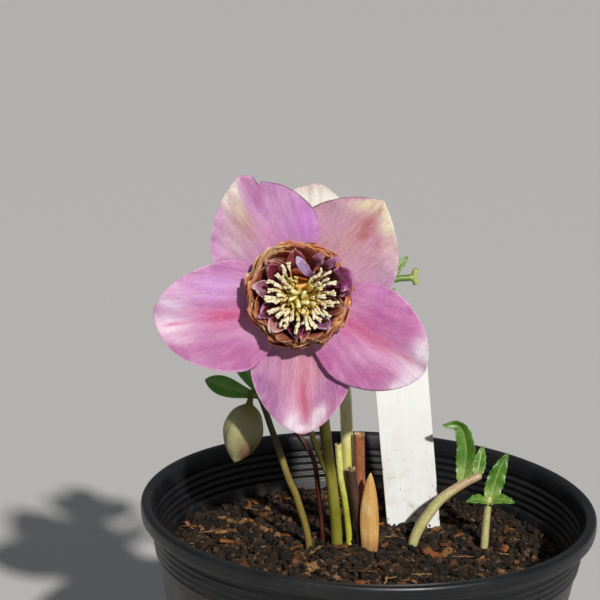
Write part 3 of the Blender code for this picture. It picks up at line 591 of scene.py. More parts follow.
def build_pot():
    base_edge = [(POT_BASE_RADIUS - 1 + math.sin(a), 1 - math.cos(a))
                 for a in np.linspace(0, math.pi / 2, 6)]
    lip = [(LIP_RADIUS - 0.9 + 0.9 * math.cos(a), POT_HEIGHT - 1.2 + 1.2 * math.sin(a))
           for a in np.linspace(0, math.pi / 2, 8)]
    top = POT_HEIGHT - LIP_DEPTH
    throat = POT_TOP_RADIUS - POT_WALL
    outside = [(0, 0), (DRAIN_CIRCLE / 2, 0), *base_edge, (wall_radius(POT_WAIST_Z), POT_WAIST_Z)]
    outside += reversed(rib_profile(False))
    outside += [(LIP_RADIUS - 0.7, top), (LIP_RADIUS - 0.2, top + 0.4), (LIP_RADIUS, top + 1.4)]
    inside = [(throat + 0.9, POT_HEIGHT - 0.1), (throat + 0.35, POT_HEIGHT - 0.5)]
    inside += [(throat, POT_HEIGHT - 1.6), *rib_profile(True)]
    inside.append((wall_radius(POT_WAIST_Z) - POT_WALL, POT_WAIST_Z))
    inside += [(wall_radius(POT_WALL) - POT_WALL, POT_WALL), (0, POT_WALL)]
    shape = turned(outside + lip + inside, POT_SIDES)
    pot = make_piece("pot_shell", shape, pot_material(), paint(shape, (20, 21, 23)),
                     ["pot"])
    group = bpy.data.collections.new("drains")
    for k in range(DRAIN_HOLES):
        turn = 2 * math.pi * k / DRAIN_HOLES
        middle = np.array((DRAIN_CIRCLE * math.cos(turn), DRAIN_CIRCLE * math.sin(turn), 0))
        points, faces, _ = tube([middle - (0, 0, 1), middle + (0, 0, POT_WALL + 1)], [DRAIN_RADIUS] * 2, 24)
        mesh = bpy.data.meshes.new("drain")
        mesh.from_pydata((points * MM).tolist(), [], faces)
        group.objects.link(bpy.data.objects.new(f"drain_{k}", mesh))
    cut = pot.modifiers.new("drains", "BOOLEAN")
    cut.operand_type, cut.collection = "COLLECTION", group
    cut.operation, cut.solver = "DIFFERENCE", "MANIFOLD"
    graph = bpy.context.evaluated_depsgraph_get()
    mesh = bpy.data.meshes.new_from_object(pot.evaluated_get(graph))
    pot.modifiers.clear()
    pot.data = mesh
    pot.data.set_sharp_from_angle(angle=math.radians(45))
    for helper in list(group.objects):
        bpy.data.objects.remove(helper)
    bpy.data.collections.remove(group)


def soil_height(x, y):
    """Surface of the soil: a low mound at the crown, with small lumps."""
    radius = np.hypot(x, y)
    edge = wall_radius(SOIL_EDGE_Z)
    mound = (SOIL_CROWN_Z - SOIL_EDGE_Z) * (0.5 + 0.5 * np.cos(math.pi * np.minimum(radius / edge, 1)))
    lumps = 0.5 * np.sin(0.31 * x + 0.9) * np.sin(0.27 * y) + 0.35 * np.sin(0.52 * y + 0.23 * x)
    return SOIL_EDGE_Z + mound + lumps * np.minimum(1, (edge - radius) / 6)


def flake(place, turn, size, tilts, draw, rough=0.16):
    """A torn flat chip: a box of a few cells with its points pushed about."""
    length, width, height = size
    cells = CHIP_CELLS
    lines = [np.linspace(-0.5, 0.5, c + 1) for c in cells]
    index, points = {}, []
    for i, x in enumerate(lines[0]):
        for j, y in enumerate(lines[1]):
            for k, z in enumerate(lines[2]):
                if 0 < i < cells[0] and 0 < j < cells[1] and 0 < k < cells[2]:
                    continue
                index[i, j, k] = len(points)
                taper = 1 - 0.3 * (x + 0.5)
                shove = draw.normal(size=3) * rough * 0.5
                points.append(((x + shove[0] * 0.3) * length, (y * taper + shove[1] * 0.4) * width,
                               (z * (1 - 0.5 * abs(2 * y) ** 2) + shove[2] * 0.35) * height))
    faces = []
    for axis in range(3):
        first, second = [a for a in range(3) if a != axis]
        for end in (0, cells[axis]):
            for i in range(cells[first]):
                for j in range(cells[second]):
                    corner = []
                    for di, dj in ((0, 0), (1, 0), (1, 1), (0, 1)):
                        key = [0, 0, 0]
                        key[axis], key[first], key[second] = end, i + di, j + dj
                        corner.append(index[tuple(key)])
                    faces.append(tuple(corner) if (end == 0) == (axis == 1) else tuple(reversed(corner)))
    laid = (Matrix.Translation(place) @ Matrix.Rotation(turn, 4, "Z")
            @ Matrix.Rotation(tilts[0], 4, "X") @ Matrix.Rotation(tilts[1], 4, "Y"))
    return moved((np.array(points), faces, np.zeros((len(points), 4))), laid)


CHIP_TANS = ((150, 104, 62), (122, 78, 44), (176, 128, 84), (92, 60, 38), (160, 96, 48), (70, 48, 34))
CRUMB_BROWNS = ((34, 26, 20), (48, 35, 26), (62, 44, 30), (26, 21, 18), (40, 30, 24), (96, 66, 42),
                (120, 84, 54))
STRAW_TANS = ((168, 126, 80), (110, 78, 50), (190, 152, 104))
CRUMB_FACES = ((0, 1, 2), (0, 2, 3), (0, 3, 4), (0, 4, 5), (0, 5, 1), (1, 6, 2), (2, 7, 3), (3, 8, 4),
               (4, 9, 5), (5, 10, 1), (6, 7, 2), (7, 8, 3), (8, 9, 4), (9, 10, 5), (10, 6, 1), (11, 7, 6),
               (11, 8, 7), (11, 9, 8), (11, 10, 9), (11, 6, 10))


def crumb_points():
    """Corners of a regular solid of twenty faces, in the order that CRUMB_FACES expects."""
    points = [(0, 0, 1)]
    for slope, first in ((math.atan(0.5), 0), (-math.atan(0.5), 0.5)):
        for k in range(5):
            turn = 2 * math.pi * (k + first) / 5
            points.append((math.cos(slope) * math.cos(turn), math.cos(slope) * math.sin(turn),
                           math.sin(slope)))
    return np.array(points + [(0, 0, -1)])


def scattered(draw, edge, low, high):
    """A place on the soil between two shares of its area, counted from the middle."""
    radius, turn = edge * math.sqrt(draw.uniform(low, high)), draw.uniform(0, 2 * math.pi)
    return radius * math.cos(turn), radius * math.sin(turn)


def crowded(x, y, reach):
    """Whether a stalk enters the soil within this reach."""
    return min(math.hypot(x - a, y - b) for a, b in BURIED) < reach


def build_soil():
    inner = POT_WALL + SOIL_GAP
    edge = wall_radius(SOIL_EDGE_Z) - inner
    surface = [(edge * share, SOIL_EDGE_Z) for share in np.linspace(1, 0, SOIL_RINGS, endpoint=False)]
    profile = [(0, inner), (wall_radius(inner) - inner, inner), (edge - 0.1, SOIL_EDGE_Z - 1.2)]
    soil = turned(profile + surface + [(0, SOIL_CROWN_Z)], SOIL_SIDES)
    points = soil[0]
    top = points[:, 2] > SOIL_EDGE_Z - 1
    x, y = points[top, 0], points[top, 1]
    inwards = np.clip((edge - np.hypot(x, y)) / 2, 0, 1)
    flat = np.column_stack([x, y, np.zeros(len(x))])
    clods = 0.45 * mottle(flat, 3.2, 1) + 0.3 * mottle(flat, 1.5, 2) + 0.16 * mottle(flat, 0.8, 3)
    points[top, 2] = soil_height(x, y) + clods * inwards
    make_piece("soil_body", soil, soil_material(), paint(soil, (38, 30, 24)), ["soil"])

    draw = random.Random(11)
    rough = np.random.default_rng(4)
    bark = bark_material()
    chips = []
    while len(chips) < CHIP_COUNT:
        x, y = scattered(draw, edge, 0.08, 0.82)
        if crowded(x, y, CHIP_CLEARANCE):
            continue
        size = (draw.uniform(4, 8), draw.uniform(2.5, 4.5), draw.uniform(1.6, 2.2))
        spot = (x, y, float(soil_height(x, y)) + 0.3)
        turn = draw.uniform(0, 3)
        tilts = (draw.uniform(-0.35, 0.35), draw.uniform(-0.3, 0.3))
        put(chips, flake(spot, turn, size, tilts, rough), CHIP_TANS[(len(chips) + 1) % len(CHIP_TANS)])
    for _ in range(SMALL_CHIP_TRIES):
        x, y = scattered(rough, edge, 0.0, 0.94)
        if crowded(x, y, SMALL_CHIP_CLEARANCE):
            continue
        size = (rough.uniform(2, 4.6), rough.uniform(1.0, 2.2), rough.uniform(0.5, 1.1))
        spot = (x, y, float(soil_height(x, y)) + rough.uniform(0.3, 0.9))
        chip = flake(spot, rough.uniform(0, 3), size, rough.uniform(-0.4, 0.4, 2), rough)
        put(chips, chip, CHIP_TANS[int(rough.integers(len(CHIP_TANS)))])

    crumbs, base = [], crumb_points()
    for _ in range(CRUMB_COUNT):
        x, y = scattered(rough, edge, 0.0, 0.985)
        size = rough.uniform(0.35, 1.15) * (1.5 if rough.uniform() > 0.93 else 1)
        points = base * size * rough.uniform(0.6, 1.2, 3) * rough.uniform(0.75, 1.2, (12, 1))
        spot = np.array((x, y, float(soil_height(x, y)) + rough.uniform(0.0, 0.7)))
        shade = CRUMB_BROWNS[int(min(rough.exponential(1.9), len(CRUMB_BROWNS) - 1))]
        put(crumbs, (points + spot, CRUMB_FACES, np.zeros((12, 4))), shade)

    straws = []
    for _ in range(STRAW_COUNT):
        x, y = scattered(rough, edge, 0.02, 0.8)
        heading, length = rough.uniform(0, math.pi), rough.uniform(2.5, 7)
        steps = np.linspace(-0.5, 0.5, 6)
        xs = x + steps * length * math.cos(heading) + rough.normal(size=6) * 0.25
        ys = y + steps * length * math.sin(heading) + rough.normal(size=6) * 0.25
        path = np.column_stack([xs, ys, soil_height(xs, ys) + rough.uniform(0.4, 1.2)])
        straw = tube(curve_through(path, 10), [0.13 + 0.08 * rough.uniform()] * 11, 5)
        put(straws, straw, STRAW_TANS[int(rough.integers(len(STRAW_TANS)))])
    for name, heap in (("soil_chips", chips), ("soil_crumbs", crumbs), ("soil_straws", straws)):
        shape, tint = gathered(heap)
        make_piece(name, shape, bark, tint, smooth=heap is straws)


def build_label():
    """Flat label with round top corners and a pointed foot, hanging from its top middle."""
    half, corner = LABEL_WIDTH / 2, 3.0
    outline = [(0, -LABEL_LENGTH), (half, -LABEL_LENGTH + 14)]
    outline += [(half - corner + corner * math.cos(a), corner * (math.sin(a) - 1))
                for a in np.linspace(0, math.pi / 2, 9)]
    outline += [(-x, z) for x, z in reversed(outline[1:])]
    steps = ((0.5, 0.12), (0.34, 0.0), (-0.34, 0.0), (-0.5, 0.12))
    count = len(outline)
    points = []
    for share, inset in steps:
        points += [(x * (1 - inset / half), share * LABEL_THICKNESS,
                    z - inset * (z > -6) + inset * (z < -90)) for x, z in outline]
    faces = [tuple(reversed(face)) for face in end_caps(4, count)] + bands(4, count, flipped=True)
    matrix = Matrix.Translation(LABEL_TOP) @ Matrix.Rotation(math.radians(-LABEL_LEAN_DEG), 4, "Y")
    shape = moved((np.array(points), faces, np.zeros((len(points), 4))), matrix)
    label = make_piece("label_blank", shape, label_material(), paint(shape, (231, 235, 238)),
                       ["plant_label"])
    label.data.set_sharp_from_angle(angle=math.radians(25))


# Flowers, built in the flower's own frame: x right, y up, z out of the flower

def flower_matrix(centre, facing_y, tilt_deg):
    tilt = math.radians(tilt_deg)
    out = Vector((0, facing_y * math.cos(tilt), math.sin(tilt)))
    right = Vector((-facing_y, 0, 0))
    up = out.cross(right)
    return Matrix.Translation(centre) @ Matrix((right, up, out)).transposed().to_4x4()


def bowl(reach, length, opening):
    """Radius, height and slope where the bowl's arc has run this far from the flower's middle."""
    first, last = (math.radians(a) for a in opening)
    slope = first + (last - first) * reach / length
    bend = (last - first) / length
    return (np.sin(slope) - math.sin(first)) / bend, (math.cos(first) - np.cos(slope)) / bend, slope


def sepal_outline(u, widest, narrowing):
    """Share of the length and share of the full width, from the claw (0) to the tip (1)."""
    swing = np.sin(math.pi / 2 * np.clip(2 * u - 1, 0, 1))
    share = np.where(u < 0.5, widest * 2 * u, widest + (1 - widest) * swing)
    narrow = np.clip(1 - swing ** 1.7, 0, 1) ** narrowing
    return share, np.where(u < 0.5, 0.24 + 0.76 * np.sin(math.pi * np.minimum(u, 0.5)), narrow)


def sepal(spec, opening, root, fine, notch=None, ripple=0.25):
    """A broad sepal on the bowl of its flower, in its own layer, with a gently rippled margin."""
    _, angle, length, wide_ccw, wide_cw, layer, widest, narrowing = spec
    turn = math.radians(angle)

    def flat_place(u, v):
        share, width = sepal_outline(u, widest, narrowing)
        return root + (length - root) * share, v * width * np.where(v > 0, wide_ccw, wide_cw), share

    def surface(u, v):
        along, across, share = flat_place(u, v)
        fan = across / (along + 7) ** 0.8
        if notch:
            side, depth = notch
            beyond = side - across
            near = np.exp(-(beyond / np.where(beyond > 0, 0.7, 0.3)) ** 2)
            shoulder = 0.5 * ramp(beyond, 0, 0.8) * (1 - ramp(beyond, 2, 7))
            along = along - depth * (near + shoulder) * ramp(along, length * 0.62, length)
        flat = np.hypot(along, across)
        heading = turn + np.arctan2(across, along)
        radius, height, slope = bowl(flat, length, opening)
        groove = -0.3 * np.exp(-(across / 1.6) ** 2) * share
        wave = 0.3 * np.sin(across * 0.5 + angle + 0.08 * along) * share
        edge = ripple * np.sin(along * 0.8 + 1.7 * np.sign(v) + angle) * np.abs(v) ** 3
        edge = edge + 0.4 * ripple * np.sin(along * 2.1 + 2.3 * np.sign(v)) * np.abs(v) ** 8
        folds = 0.05 * np.sin(fan * 26 + 2 * np.sin(along * 0.2 + angle)) * ramp(share, 0.1, 0.5)
        lift = layer * LAYER_STEP + groove + wave + edge + folds
        radius = radius - np.sin(slope) * lift
        height = height + np.cos(slope) * lift
        return np.stack([radius * np.cos(heading), radius * np.sin(heading), height], axis=-1)

    points, faces, place = blade(surface, *fine, SEPAL_THICKNESS, angle / 90)
    along, across, _ = flat_place(place[:, 0], place[:, 1])
    edge = ramp(np.abs(place[:, 1]), 0.95, 0.995) * ramp(place[:, 0], 0.3, 0.6)
    veins = np.column_stack([along / length, across / (along + 7) ** 0.8, place[:, 2:]])
    return (points, faces, veins), across, edge


def patch(shape, x, y, wide, high, lean_deg=0.0):
    """Soft oval mask from 0 to 1 about a point of the flower's face."""
    dx, dy = shape[0][:, 0] - x, shape[0][:, 1] - y
    c, s = math.cos(math.radians(lean_deg)), math.sin(math.radians(lean_deg))
    return np.exp(-((dx * c + dy * s) / wide) ** 2 - ((dy * c - dx * s) / high) ** 2)


# Paint on each sepal over its own base, as (colour, strength, x, y, half length, half width, lean)
SEPAL_PAINT = {
    "sepal_top_left": ((200, 140, 194), (
        ((208, 136, 214), 0.85, 2.0, 17.0, 8.0, 5.5, 100),
        ((214, 164, 208), 0.6, -5.5, 24.0, 5.0, 4.0, 120),
        ((206, 172, 184), 0.9, -16.0, 13.0, 6.5, 4.5, 115),
        ((196, 150, 150), 0.7, -13.5, 17.5, 6.5, 2.2, 121),
        ((172, 132, 118), 0.5, -17.0, 20.8, 3.0, 0.9, 118),
        ((255, 250, 230), 1.4, -18.6, 26.4, 4.2, 2.6, 106),
        ((226, 206, 182), 0.7, -16.0, 21.4, 3.4, 1.5, 122),
        ((164, 84, 146), 0.75, -11.0, 26.4, 3.8, 1.2, 97),
        ((186, 112, 158), 0.6, -13.4, 28.4, 2.4, 2.2, 60),
        ((224, 152, 196), 0.6, -6.5, 12.5, 4.5, 4.0, 120),
    )),
    "sepal_top_right": ((208, 158, 178), (
        ((198, 154, 168), 0.8, 7.5, 20.5, 5.5, 4.0, 60),
        ((200, 158, 190), 0.7, 22.0, 7.0, 6.0, 4.0, 80),
        ((218, 166, 166), 0.7, 11.5, 12.5, 6.0, 4.0, 45),
        ((226, 186, 194), 0.8, 23.0, 12.0, 5.0, 3.6, 96),
        ((250, 240, 208), 1.15, 21.6, 20.2, 5.6, 2.6, 110),
        ((244, 226, 192), 1.0, 17.0, 23.6, 4.4, 2.0, 8),
        ((210, 150, 148), 0.8, 16.2, 17.6, 4.6, 2.4, 52),
        ((190, 92, 108), 0.65, 16.9, 17.9, 2.2, 1.2, 52),
        ((190, 98, 108), 0.6, 15.4, 15.6, 1.6, 1.0, 20),
        ((176, 86, 100), 0.3, 19.5, 21.6, 1.2, 0.6, 70),
        ((204, 120, 134), 0.5, 19.2, 13.6, 2.4, 1.2, 80),
        ((190, 114, 150), 0.8, 14.5, 25.4, 6.0, 0.8, 6),
    )),
    "sepal_right": ((194, 106, 166), (
        ((204, 126, 186), 0.8, 22.0, 1.0, 10.0, 4.0, -32),
        ((206, 92, 148), 0.7, 13.5, -7.0, 5.0, 2.6, -28),
        ((204, 78, 126), 0.9, 20.5, -10.8, 6.5, 1.7, -33),
        ((208, 120, 168), 0.5, 20.5, -10.8, 9.0, 4.0, -33),
        ((240, 228, 240), 1.2, 30.6, -14.6, 6.0, 3.0, -112),
        ((238, 220, 236), 1.0, 27.4, -20.6, 5.4, 2.2, 35),
        ((228, 196, 222), 0.6, 26.4, -16.0, 4.5, 2.6, -35),
        ((210, 96, 146), 0.6, 27.6, -14.6, 3.4, 0.7, -33),
    )),
    "sepal_bottom": ((186, 112, 156), (
        ((158, 88, 150), 0.8, -7.4, -24.5, 6.5, 3.0, 112),
        ((174, 96, 162), 0.8, 8.5, -23.0, 7.0, 3.0, 62),
        ((214, 148, 164), 0.9, 1.8, -19.0, 7.0, 4.5, 90),
        ((198, 84, 118), 0.95, 2.0, -26.0, 6.4, 1.7, 93),
        ((182, 52, 94), 0.9, 2.7, -28.8, 3.2, 0.9, 96),
        ((234, 216, 228), 1.1, -0.9, -31.6, 2.4, 1.7, 62),
        ((234, 214, 226), 1.1, 5.6, -30.0, 3.2, 1.6, 55),
        ((236, 216, 226), 1.1, 1.9, -33.2, 3.8, 1.2, 0),
    )),
    "sepal_left": ((192, 108, 166), (
        ((212, 152, 216), 0.85, -24.0, 1.0, 11.0, 5.0, 12),
        ((206, 98, 152), 0.6, -17.0, -5.6, 8.0, 3.0, 6),
        ((208, 80, 134), 0.7, -20.0, -5.6, 6.5, 1.4, 4),
        ((238, 220, 238), 1.1, -31.0, -4.4, 4.2, 4.4, 80),
        ((238, 218, 236), 1.0, -31.6, -9.4, 4.0, 2.2, -30),
        ((214, 92, 146), 0.75, -30.4, -7.6, 3.4, 0.6, 8),
        ((216, 104, 158), 0.5, -26.0, -4.4, 3.4, 0.6, 2),
        ((184, 98, 160), 0.6, -18.0, -12.5, 7.0, 3.0, -8),
    )),
}
DARK_EDGES = {"sepal_top_left": -1, "sepal_top_right": 1, "sepal_right": -1}


def sepal_tint(name, shape, across, edge):
    """The sepal's base and paint, broken up along its veins, with a thin dark or pale margin."""
    points, _, veins = shape
    broken = 1 + 0.45 * mottle(np.column_stack([veins[:, 0] * 9, veins[:, 1] * 16, veins[:, 2]]), 1.3, 8)
    grain = mottle(points, 1.1, 5)
    base, strokes = SEPAL_PAINT[name]
    layers = [((224, 172, 210), 0.25 + 0.3 * mottle(points, 6, 3)),
              ((176, 92, 148), 0.16 * ramp(grain, 0, 1.2))]
    layers += [(colour, strength * broken * patch(shape, *where)) for colour, strength, *where in strokes]
    layers.append(((226, 192, 218), 0.6 * edge))
    layers.append(((92, 34, 78), 0.95 * edge * ramp(across * DARK_EDGES.get(name, 0), 0.5, 3)))
    return paint(shape, base, *layers)


def polar(radius, degrees, z):
    turn = np.radians(degrees)
    return np.stack(np.broadcast_arrays(radius * np.cos(turn), radius * np.sin(turn), z), axis=-1)


def scoop(route, heading, half_width, hollow, fine=(24, 20), thickness=0.3, frill=0.3, curl=0.0,
          twist=0.0, tuck=0.0, seed=0.0):
    """A petal-like scoop that rises along (radius, z) points, hollow inside, with a crinkled blunt rim.
    A tuck sets one side outwards and the other inwards, so that scoops in a ring lap like tiles."""
    samples = curve_through([(r, 0, z) for r, z in route], 100)

    def surface(u, v):
        middle = between(samples, u)
        width = half_width * (0.6 + 0.4 * np.sin(math.pi * u * 0.75))
        width = width * np.sqrt(np.clip(1 - (np.clip(u - 0.5, 0, 1) / 0.5) ** 2.6, 0.0004, 1))
        rising = ramp(u, 0.2, 0.95)
        crinkle = (0.5 * np.sin(v * 3.1 + seed * 9) + 0.32 * np.sin(v * 8 + seed * 21 + u * 5)
                   + 0.2 * np.sin(v * 17 + seed * 5 + u * 3)) * frill * rising
        radius = middle[..., 0] - hollow * v * v * width / half_width + crinkle
        radius = radius + curl * ramp(u, 0.8, 1) + tuck * v
        bearing = heading + twist * u + np.degrees(v * width / np.maximum(middle[..., 0], 4))
        flutter = 0.7 * np.sin(v * 5.5 + seed * 17) + 0.4 * np.sin(v * 14 + seed * 29)
        return polar(radius, bearing, middle[..., 2] + frill * flutter * rising)

    return blade(surface, *fine, thickness, seed)


# Rings of the ruff from the outside in: count, first heading, half widths, and the (radius, z)
# route of a scoop from its root to its rim
RUFF_RINGS = (
    (11, 0, (4.6, 6.2), ((10.2, 5.2), (11.9, 6.0), (12.5, 7.4), (12.6, 9.0))),
    (10, 17, (4.4, 5.8), ((9.9, 5.8), (11.2, 7.2), (11.9, 9.0), (12.2, 10.8))),
    (9, 5, (4.2, 5.4), ((9.4, 6.4), (10.2, 8.2), (10.8, 10.2), (11.2, 12.1))),
)
# (radius, z) section of the bowl that the scoops stand on
RUFF_CORE = ((2.5, 3.7), (9.0, 4.4), (11.2, 5.3), (12.3, 6.6), (12.6, 7.6), (12.6, 8.6), (12.4, 9.6),
             (12.0, 10.4), (11.7, 10.6), (11.3, 10.0), (11.0, 9.2), (10.4, 7.6), (9.7, 6.2), (8.6, 5.5),
             (2.5, 4.8))
# Headings between which the innermost ring is broken by the free blades
RUFF_BREAK = (12, 54)
# How far right and up the tops lean on the flower's face, and the heights where this starts and ends
RUFF_LEAN = (-0.15, 0.95, 5.5, 10.0)
PETALOID_LEAN = (0.2, 0.6, 6.5, 11.0)
STAMEN_LEAN = (0.6, 0.6, 8.0, 12.5)


def leaned(shape, right, up, low, high):
    """The shape leaned over: what stands above the flower's face is carried right and up."""
    points, faces, place = shape
    share = ramp(points[:, 2], low, high)
    return points + np.column_stack([right * share, up * share, 0 * share]), faces, place


def build_ruff(place):
    """Bowl-shaped core with rings of broad overlapping scoops, thin and amber, red inside the cup, with
    painted shade low down and under it and painted light and highlights near the top.
    """
    draw = random.Random(5)
    shapes = [turned(RUFF_CORE, 96)]
    spots = shapes[0][0]
    spots[:, :2] *= 1 + 0.022 * mottle(spots, 2.4, 61)[:, None] * ramp(spots[:, 2], 6, 9)[:, None]
    spots[:, 2] += 0.5 * mottle(spots, 1.8, 62) * ramp(spots[:, 2], 8, 10)
    for ring, (count, first, widths, route) in enumerate(RUFF_RINGS):
        for k in range(count):
            heading = first + 360 / count * k + draw.uniform(-5, 5)
            top, out = draw.uniform(-1.2, 0.8), draw.uniform(-0.2, 0.2)
            if ring == 2 and RUFF_BREAK[0] < heading < RUFF_BREAK[1]:
                continue
            out += 0.3 * ring * max(math.sin(math.radians(heading)), 0)
            path = [(r + out * i / 3, z + top * i / 3) for i, (r, z) in enumerate(route)]
            shapes.append(scoop(path, heading, draw.uniform(*widths), 0.3, curl=0.5,
                                twist=draw.uniform(-6, 6), tuck=0.75 - 0.1 * ring,
                                seed=ring * 3.3 + k * 0.37 + 0.1))
    shape = joined(shapes)
    points, _, spots = shape
    radius, height = np.hypot(points[:, 0], points[:, 1]), points[:, 2]
    u, blades = spots[:, 0], spots[:, 3] != 0
    inner = (spots[:, 3] > 0) | (~blades & (radius < 11.5))
    light = mottle(points, 2.2, 12) + 0.5 * np.sin(spots[:, 2] * 37)
    sides = ramp(np.abs(spots[:, 1]), 0.86, 0.99) * ramp(u, 0.3, 0.6)
    rim = blades * np.maximum(ramp(u, 0.86, 0.98), sides)
    # upper: the top of the cup's inner face, which is painted light rose as painted light where the rim
    # shades it
    upper = patch(shape, 1.5, 11.0, 7.0, 4.5)
    opening = patch(shape, 1.0, 7.5, 4.5, 3.0)
    # under: the lower outer band of the cup, which is painted dark brown as painted shade on its
    # downward-facing underside
    under = ramp(-points[:, 1], 6.5, 10.5) * ramp(radius, 10.4, 11.8)
    tint = paint(shape, (202, 128, 76),
                 ((234, 170, 116), 0.4 + 0.6 * light), ((156, 86, 48), 0.6 * ramp(-light, 0.4, 1.3)),
                 # Darker low down among the scoops' roots: painted shade in the crevices
                 ((146, 80, 48), 0.6 * ramp(7.0 - height, 0, 2.0)),
                 # Inside the cup: red, turning darker and purpler deeper down, partly its own colour and
                 # partly painted shade
                 ((202, 118, 96), 0.85 * inner), ((184, 92, 92), 0.8 * inner * ramp(11.4 - height, 0, 2.4)),
                 ((140, 44, 62), 0.8 * inner * ramp(9.2 - height, 0, 1.8)),
                 # painted light on the top of the inner face
                 ((255, 156, 132), 0.9 * inner * upper),
                 ((214, 104, 34), 0.95 * inner * opening * ramp(8.5 - height, 0, 2)),
                 # Paler rims are the scoops' own colour; the palest spots on them and the peach patch on
                 # the upper left rims are painted highlights
                 ((226, 166, 112), 0.7 * rim), ((246, 214, 174), 0.8 * rim * ramp(light, 0.8, 1.5)),
                 ((248, 212, 158), 0.8 * patch(shape, -8.6, 9.6, 4.6, 1.6, 42)),
                 # painted shade under the cup
                 ((112, 60, 32), 0.85 * under * (1 - 0.45 * rim)))
    mat = plant_material("nectary_rust", roughness=0.36, streaks=(4.0, 14.0), streak_depth=0.15,
                         grain=1.4, grain_depth=0.1, bump=0.1,
                         veins=((140, 66, 38), (236, 186, 132), (3.0, 8.0)), gloss=0.55,
                         glow=(0.45, (1.0, 0.45, 0.2), 0.0015))
    make_piece("ruff_fine", moved(leaned(shape, *RUFF_LEAN), place), mat, tint,
               ["nectary_ruff"])


# heading, half width, lean outwards at the top, height of the top, colour inside, colour at the edge
PETALOIDS = (
    # The colours of the two top blades, at headings 98 and 122, are partly their own and partly painted
    # light, lifting the shade that the cup's rim casts on them
    (98, 2.9, 0.4, 12.8, (206, 96, 112), (230, 150, 140)),
    (122, 2.5, 0.8, 12.4, (216, 134, 124), (240, 184, 164)),
    (148, 2.6, 0.3, 12.9, (156, 48, 76), (206, 128, 144)),
    (173, 2.6, 0.9, 13.2, (190, 122, 146), (240, 212, 216)),
    (197, 2.5, 0.8, 12.9, (190, 92, 160), (226, 158, 206)),
    (215, 1.9, 0.0, 12.3, (112, 24, 52), (160, 76, 100)),
    (234, 2.8, 0.7, 13.2, (206, 138, 138), (238, 196, 188)),
    (259, 2.4, 0.2, 12.3, (122, 34, 76), (170, 96, 132)),
    (283, 2.2, 0.4, 12.2, (142, 64, 62), (206, 142, 120)),
    (312, 2.9, 0.35, 13.0, (176, 112, 154), (214, 168, 200)),
    (338, 2.5, 0.5, 12.4, (156, 84, 60), (220, 160, 120)),
    (2, 2.4, 0.3, 12.4, (138, 52, 58), (204, 138, 110)),
)


# (radius, heading, z) route, half width, how late it is widest, crinkle, colour inside and at the edge
FREE_BLADES = (
    (((7.2, 26, 6.3), (9.3, 26, 9.0), (10.6, 25, 12.6), (12.0, 24, 14.3), (14.0, 23, 14.6)), 3.1, 2.4, 0.75,
     (138, 36, 100), (196, 122, 172)),
    (((7.2, 12, 6.3), (9.1, 12, 9.0), (10.2, 12, 12.0), (11.6, 11, 13.4), (12.8, 10, 13.2)), 2.0, 2.2, 0.6,
     (116, 24, 66), (178, 104, 128)),
    (((7.0, 52, 6.3), (9.2, 52, 9.5), (10.4, 50, 13.2), (12.2, 48, 15.0), (13.8, 45, 14.7)), 1.1, 1.3, 0.2,
     (172, 98, 146), (206, 150, 190)),
    (((7.0, 68, 6.3), (8.9, 68, 9.0), (9.6, 66, 12.2), (10.6, 64, 13.8), (11.6, 62, 13.2)), 1.5, 1.6, 0.35,
     (150, 74, 112), (210, 158, 182)),
)
LAVENDER_BLADE = ((3.6, 5.6, 6.3), (3.0, 5.0, 9.6), (1.7, 6.0, 12.6), (0.0, 8.2, 13.9), (-1.0, 9.8, 13.7))


def build_petaloids(place):
    """Low ring that carries the purple blades, with free ones among the stamens."""
    heap = []
    ring = turned([(5.8, 5.8), (7.9, 6.0), (7.9, 6.8), (5.8, 6.6)], 48)
    put(heap, ring, (96, 20, 44), ((198, 88, 30), patch(ring, 1.0, 7.0, 4.0, 2.5)))

    def keep(shape, colour, edge, root):
        u, v = shape[2][:, 0], np.abs(shape[2][:, 1])
        lines = mottle(np.column_stack([u * 3, shape[2][:, 1] * 9, u * 0]), 1.2, 15)
        margin = np.maximum(ramp(v, 0.8, 0.98) * ramp(u, 0.35, 0.6), ramp(u, 0.86, 0.98))
        put(heap, shape, root, (colour, ramp(u, 0.2, 0.65)),
            (edge, 0.5 * ramp(lines, 0, 1) * ramp(u, 0.4, 0.8)), (edge, margin),
            ((72, 10, 36), 0.5 * ramp(mottle(shape[0], 1.4, 5), 0.3, 1.1)))

    for i, (heading, half_width, lean, top, colour, edge) in enumerate(PETALOIDS):
        lean += 0.7 * max(math.sin(math.radians(heading)), 0)
        route = [(7.0, 6.3), (7.9 + lean * 0.3, 8.2), (9.0 + lean * 0.6, 10.4), (9.9 + lean, top)]
        keep(scoop(route, heading, half_width, 0.8, (22, 18), 0.3, 0.55, 0.4, 12 * math.sin(i * 2.1),
                   0.7 * math.sin(i * 1.7), 0.31 * i + 0.2), colour, edge, (98, 14, 46))
    for i, (route, half_width, late, crinkle, colour, edge) in enumerate(FREE_BLADES):
        path = [polar(*point) for point in route]
        keep(leaf(path, half_width, (0, 0, 1), 0.3, crinkle=crinkle, late=late, thickness=0.35,
                  fine=(40, 20), seed=0.7 + 0.3 * i), colour, edge, (110, 14, 66))
    keep(leaf(LAVENDER_BLADE, 1.15, (0.3, -0.2, 1), 0.12, crinkle=0.14, late=1.9, thickness=0.4,
              fine=(40, 16), seed=0.9), (176, 144, 190), (218, 200, 224), (150, 60, 96))
    mat = plant_material("petaloid_purple", roughness=0.36, streaks=(5.0, 14.0), streak_depth=0.28,
                         grain=1.8, grain_depth=0.16, bump=0.12,
                         veins=((86, 12, 50), (224, 176, 206), (3.0, 6.0)), gloss=0.55,
                         glow=(0.25, (0.9, 0.25, 0.45), 0.001))
    blades, tint = gathered(heap)
    dress("petaloids", moved(leaned(blades, *PETALOID_LEAN), place), mat, tint)


# Headings between which the main bloom has no stamens
STAMEN_GAP = (60, 112)
STAMEN_FOOT = 5.1
GOLDEN_TURN = 137.508


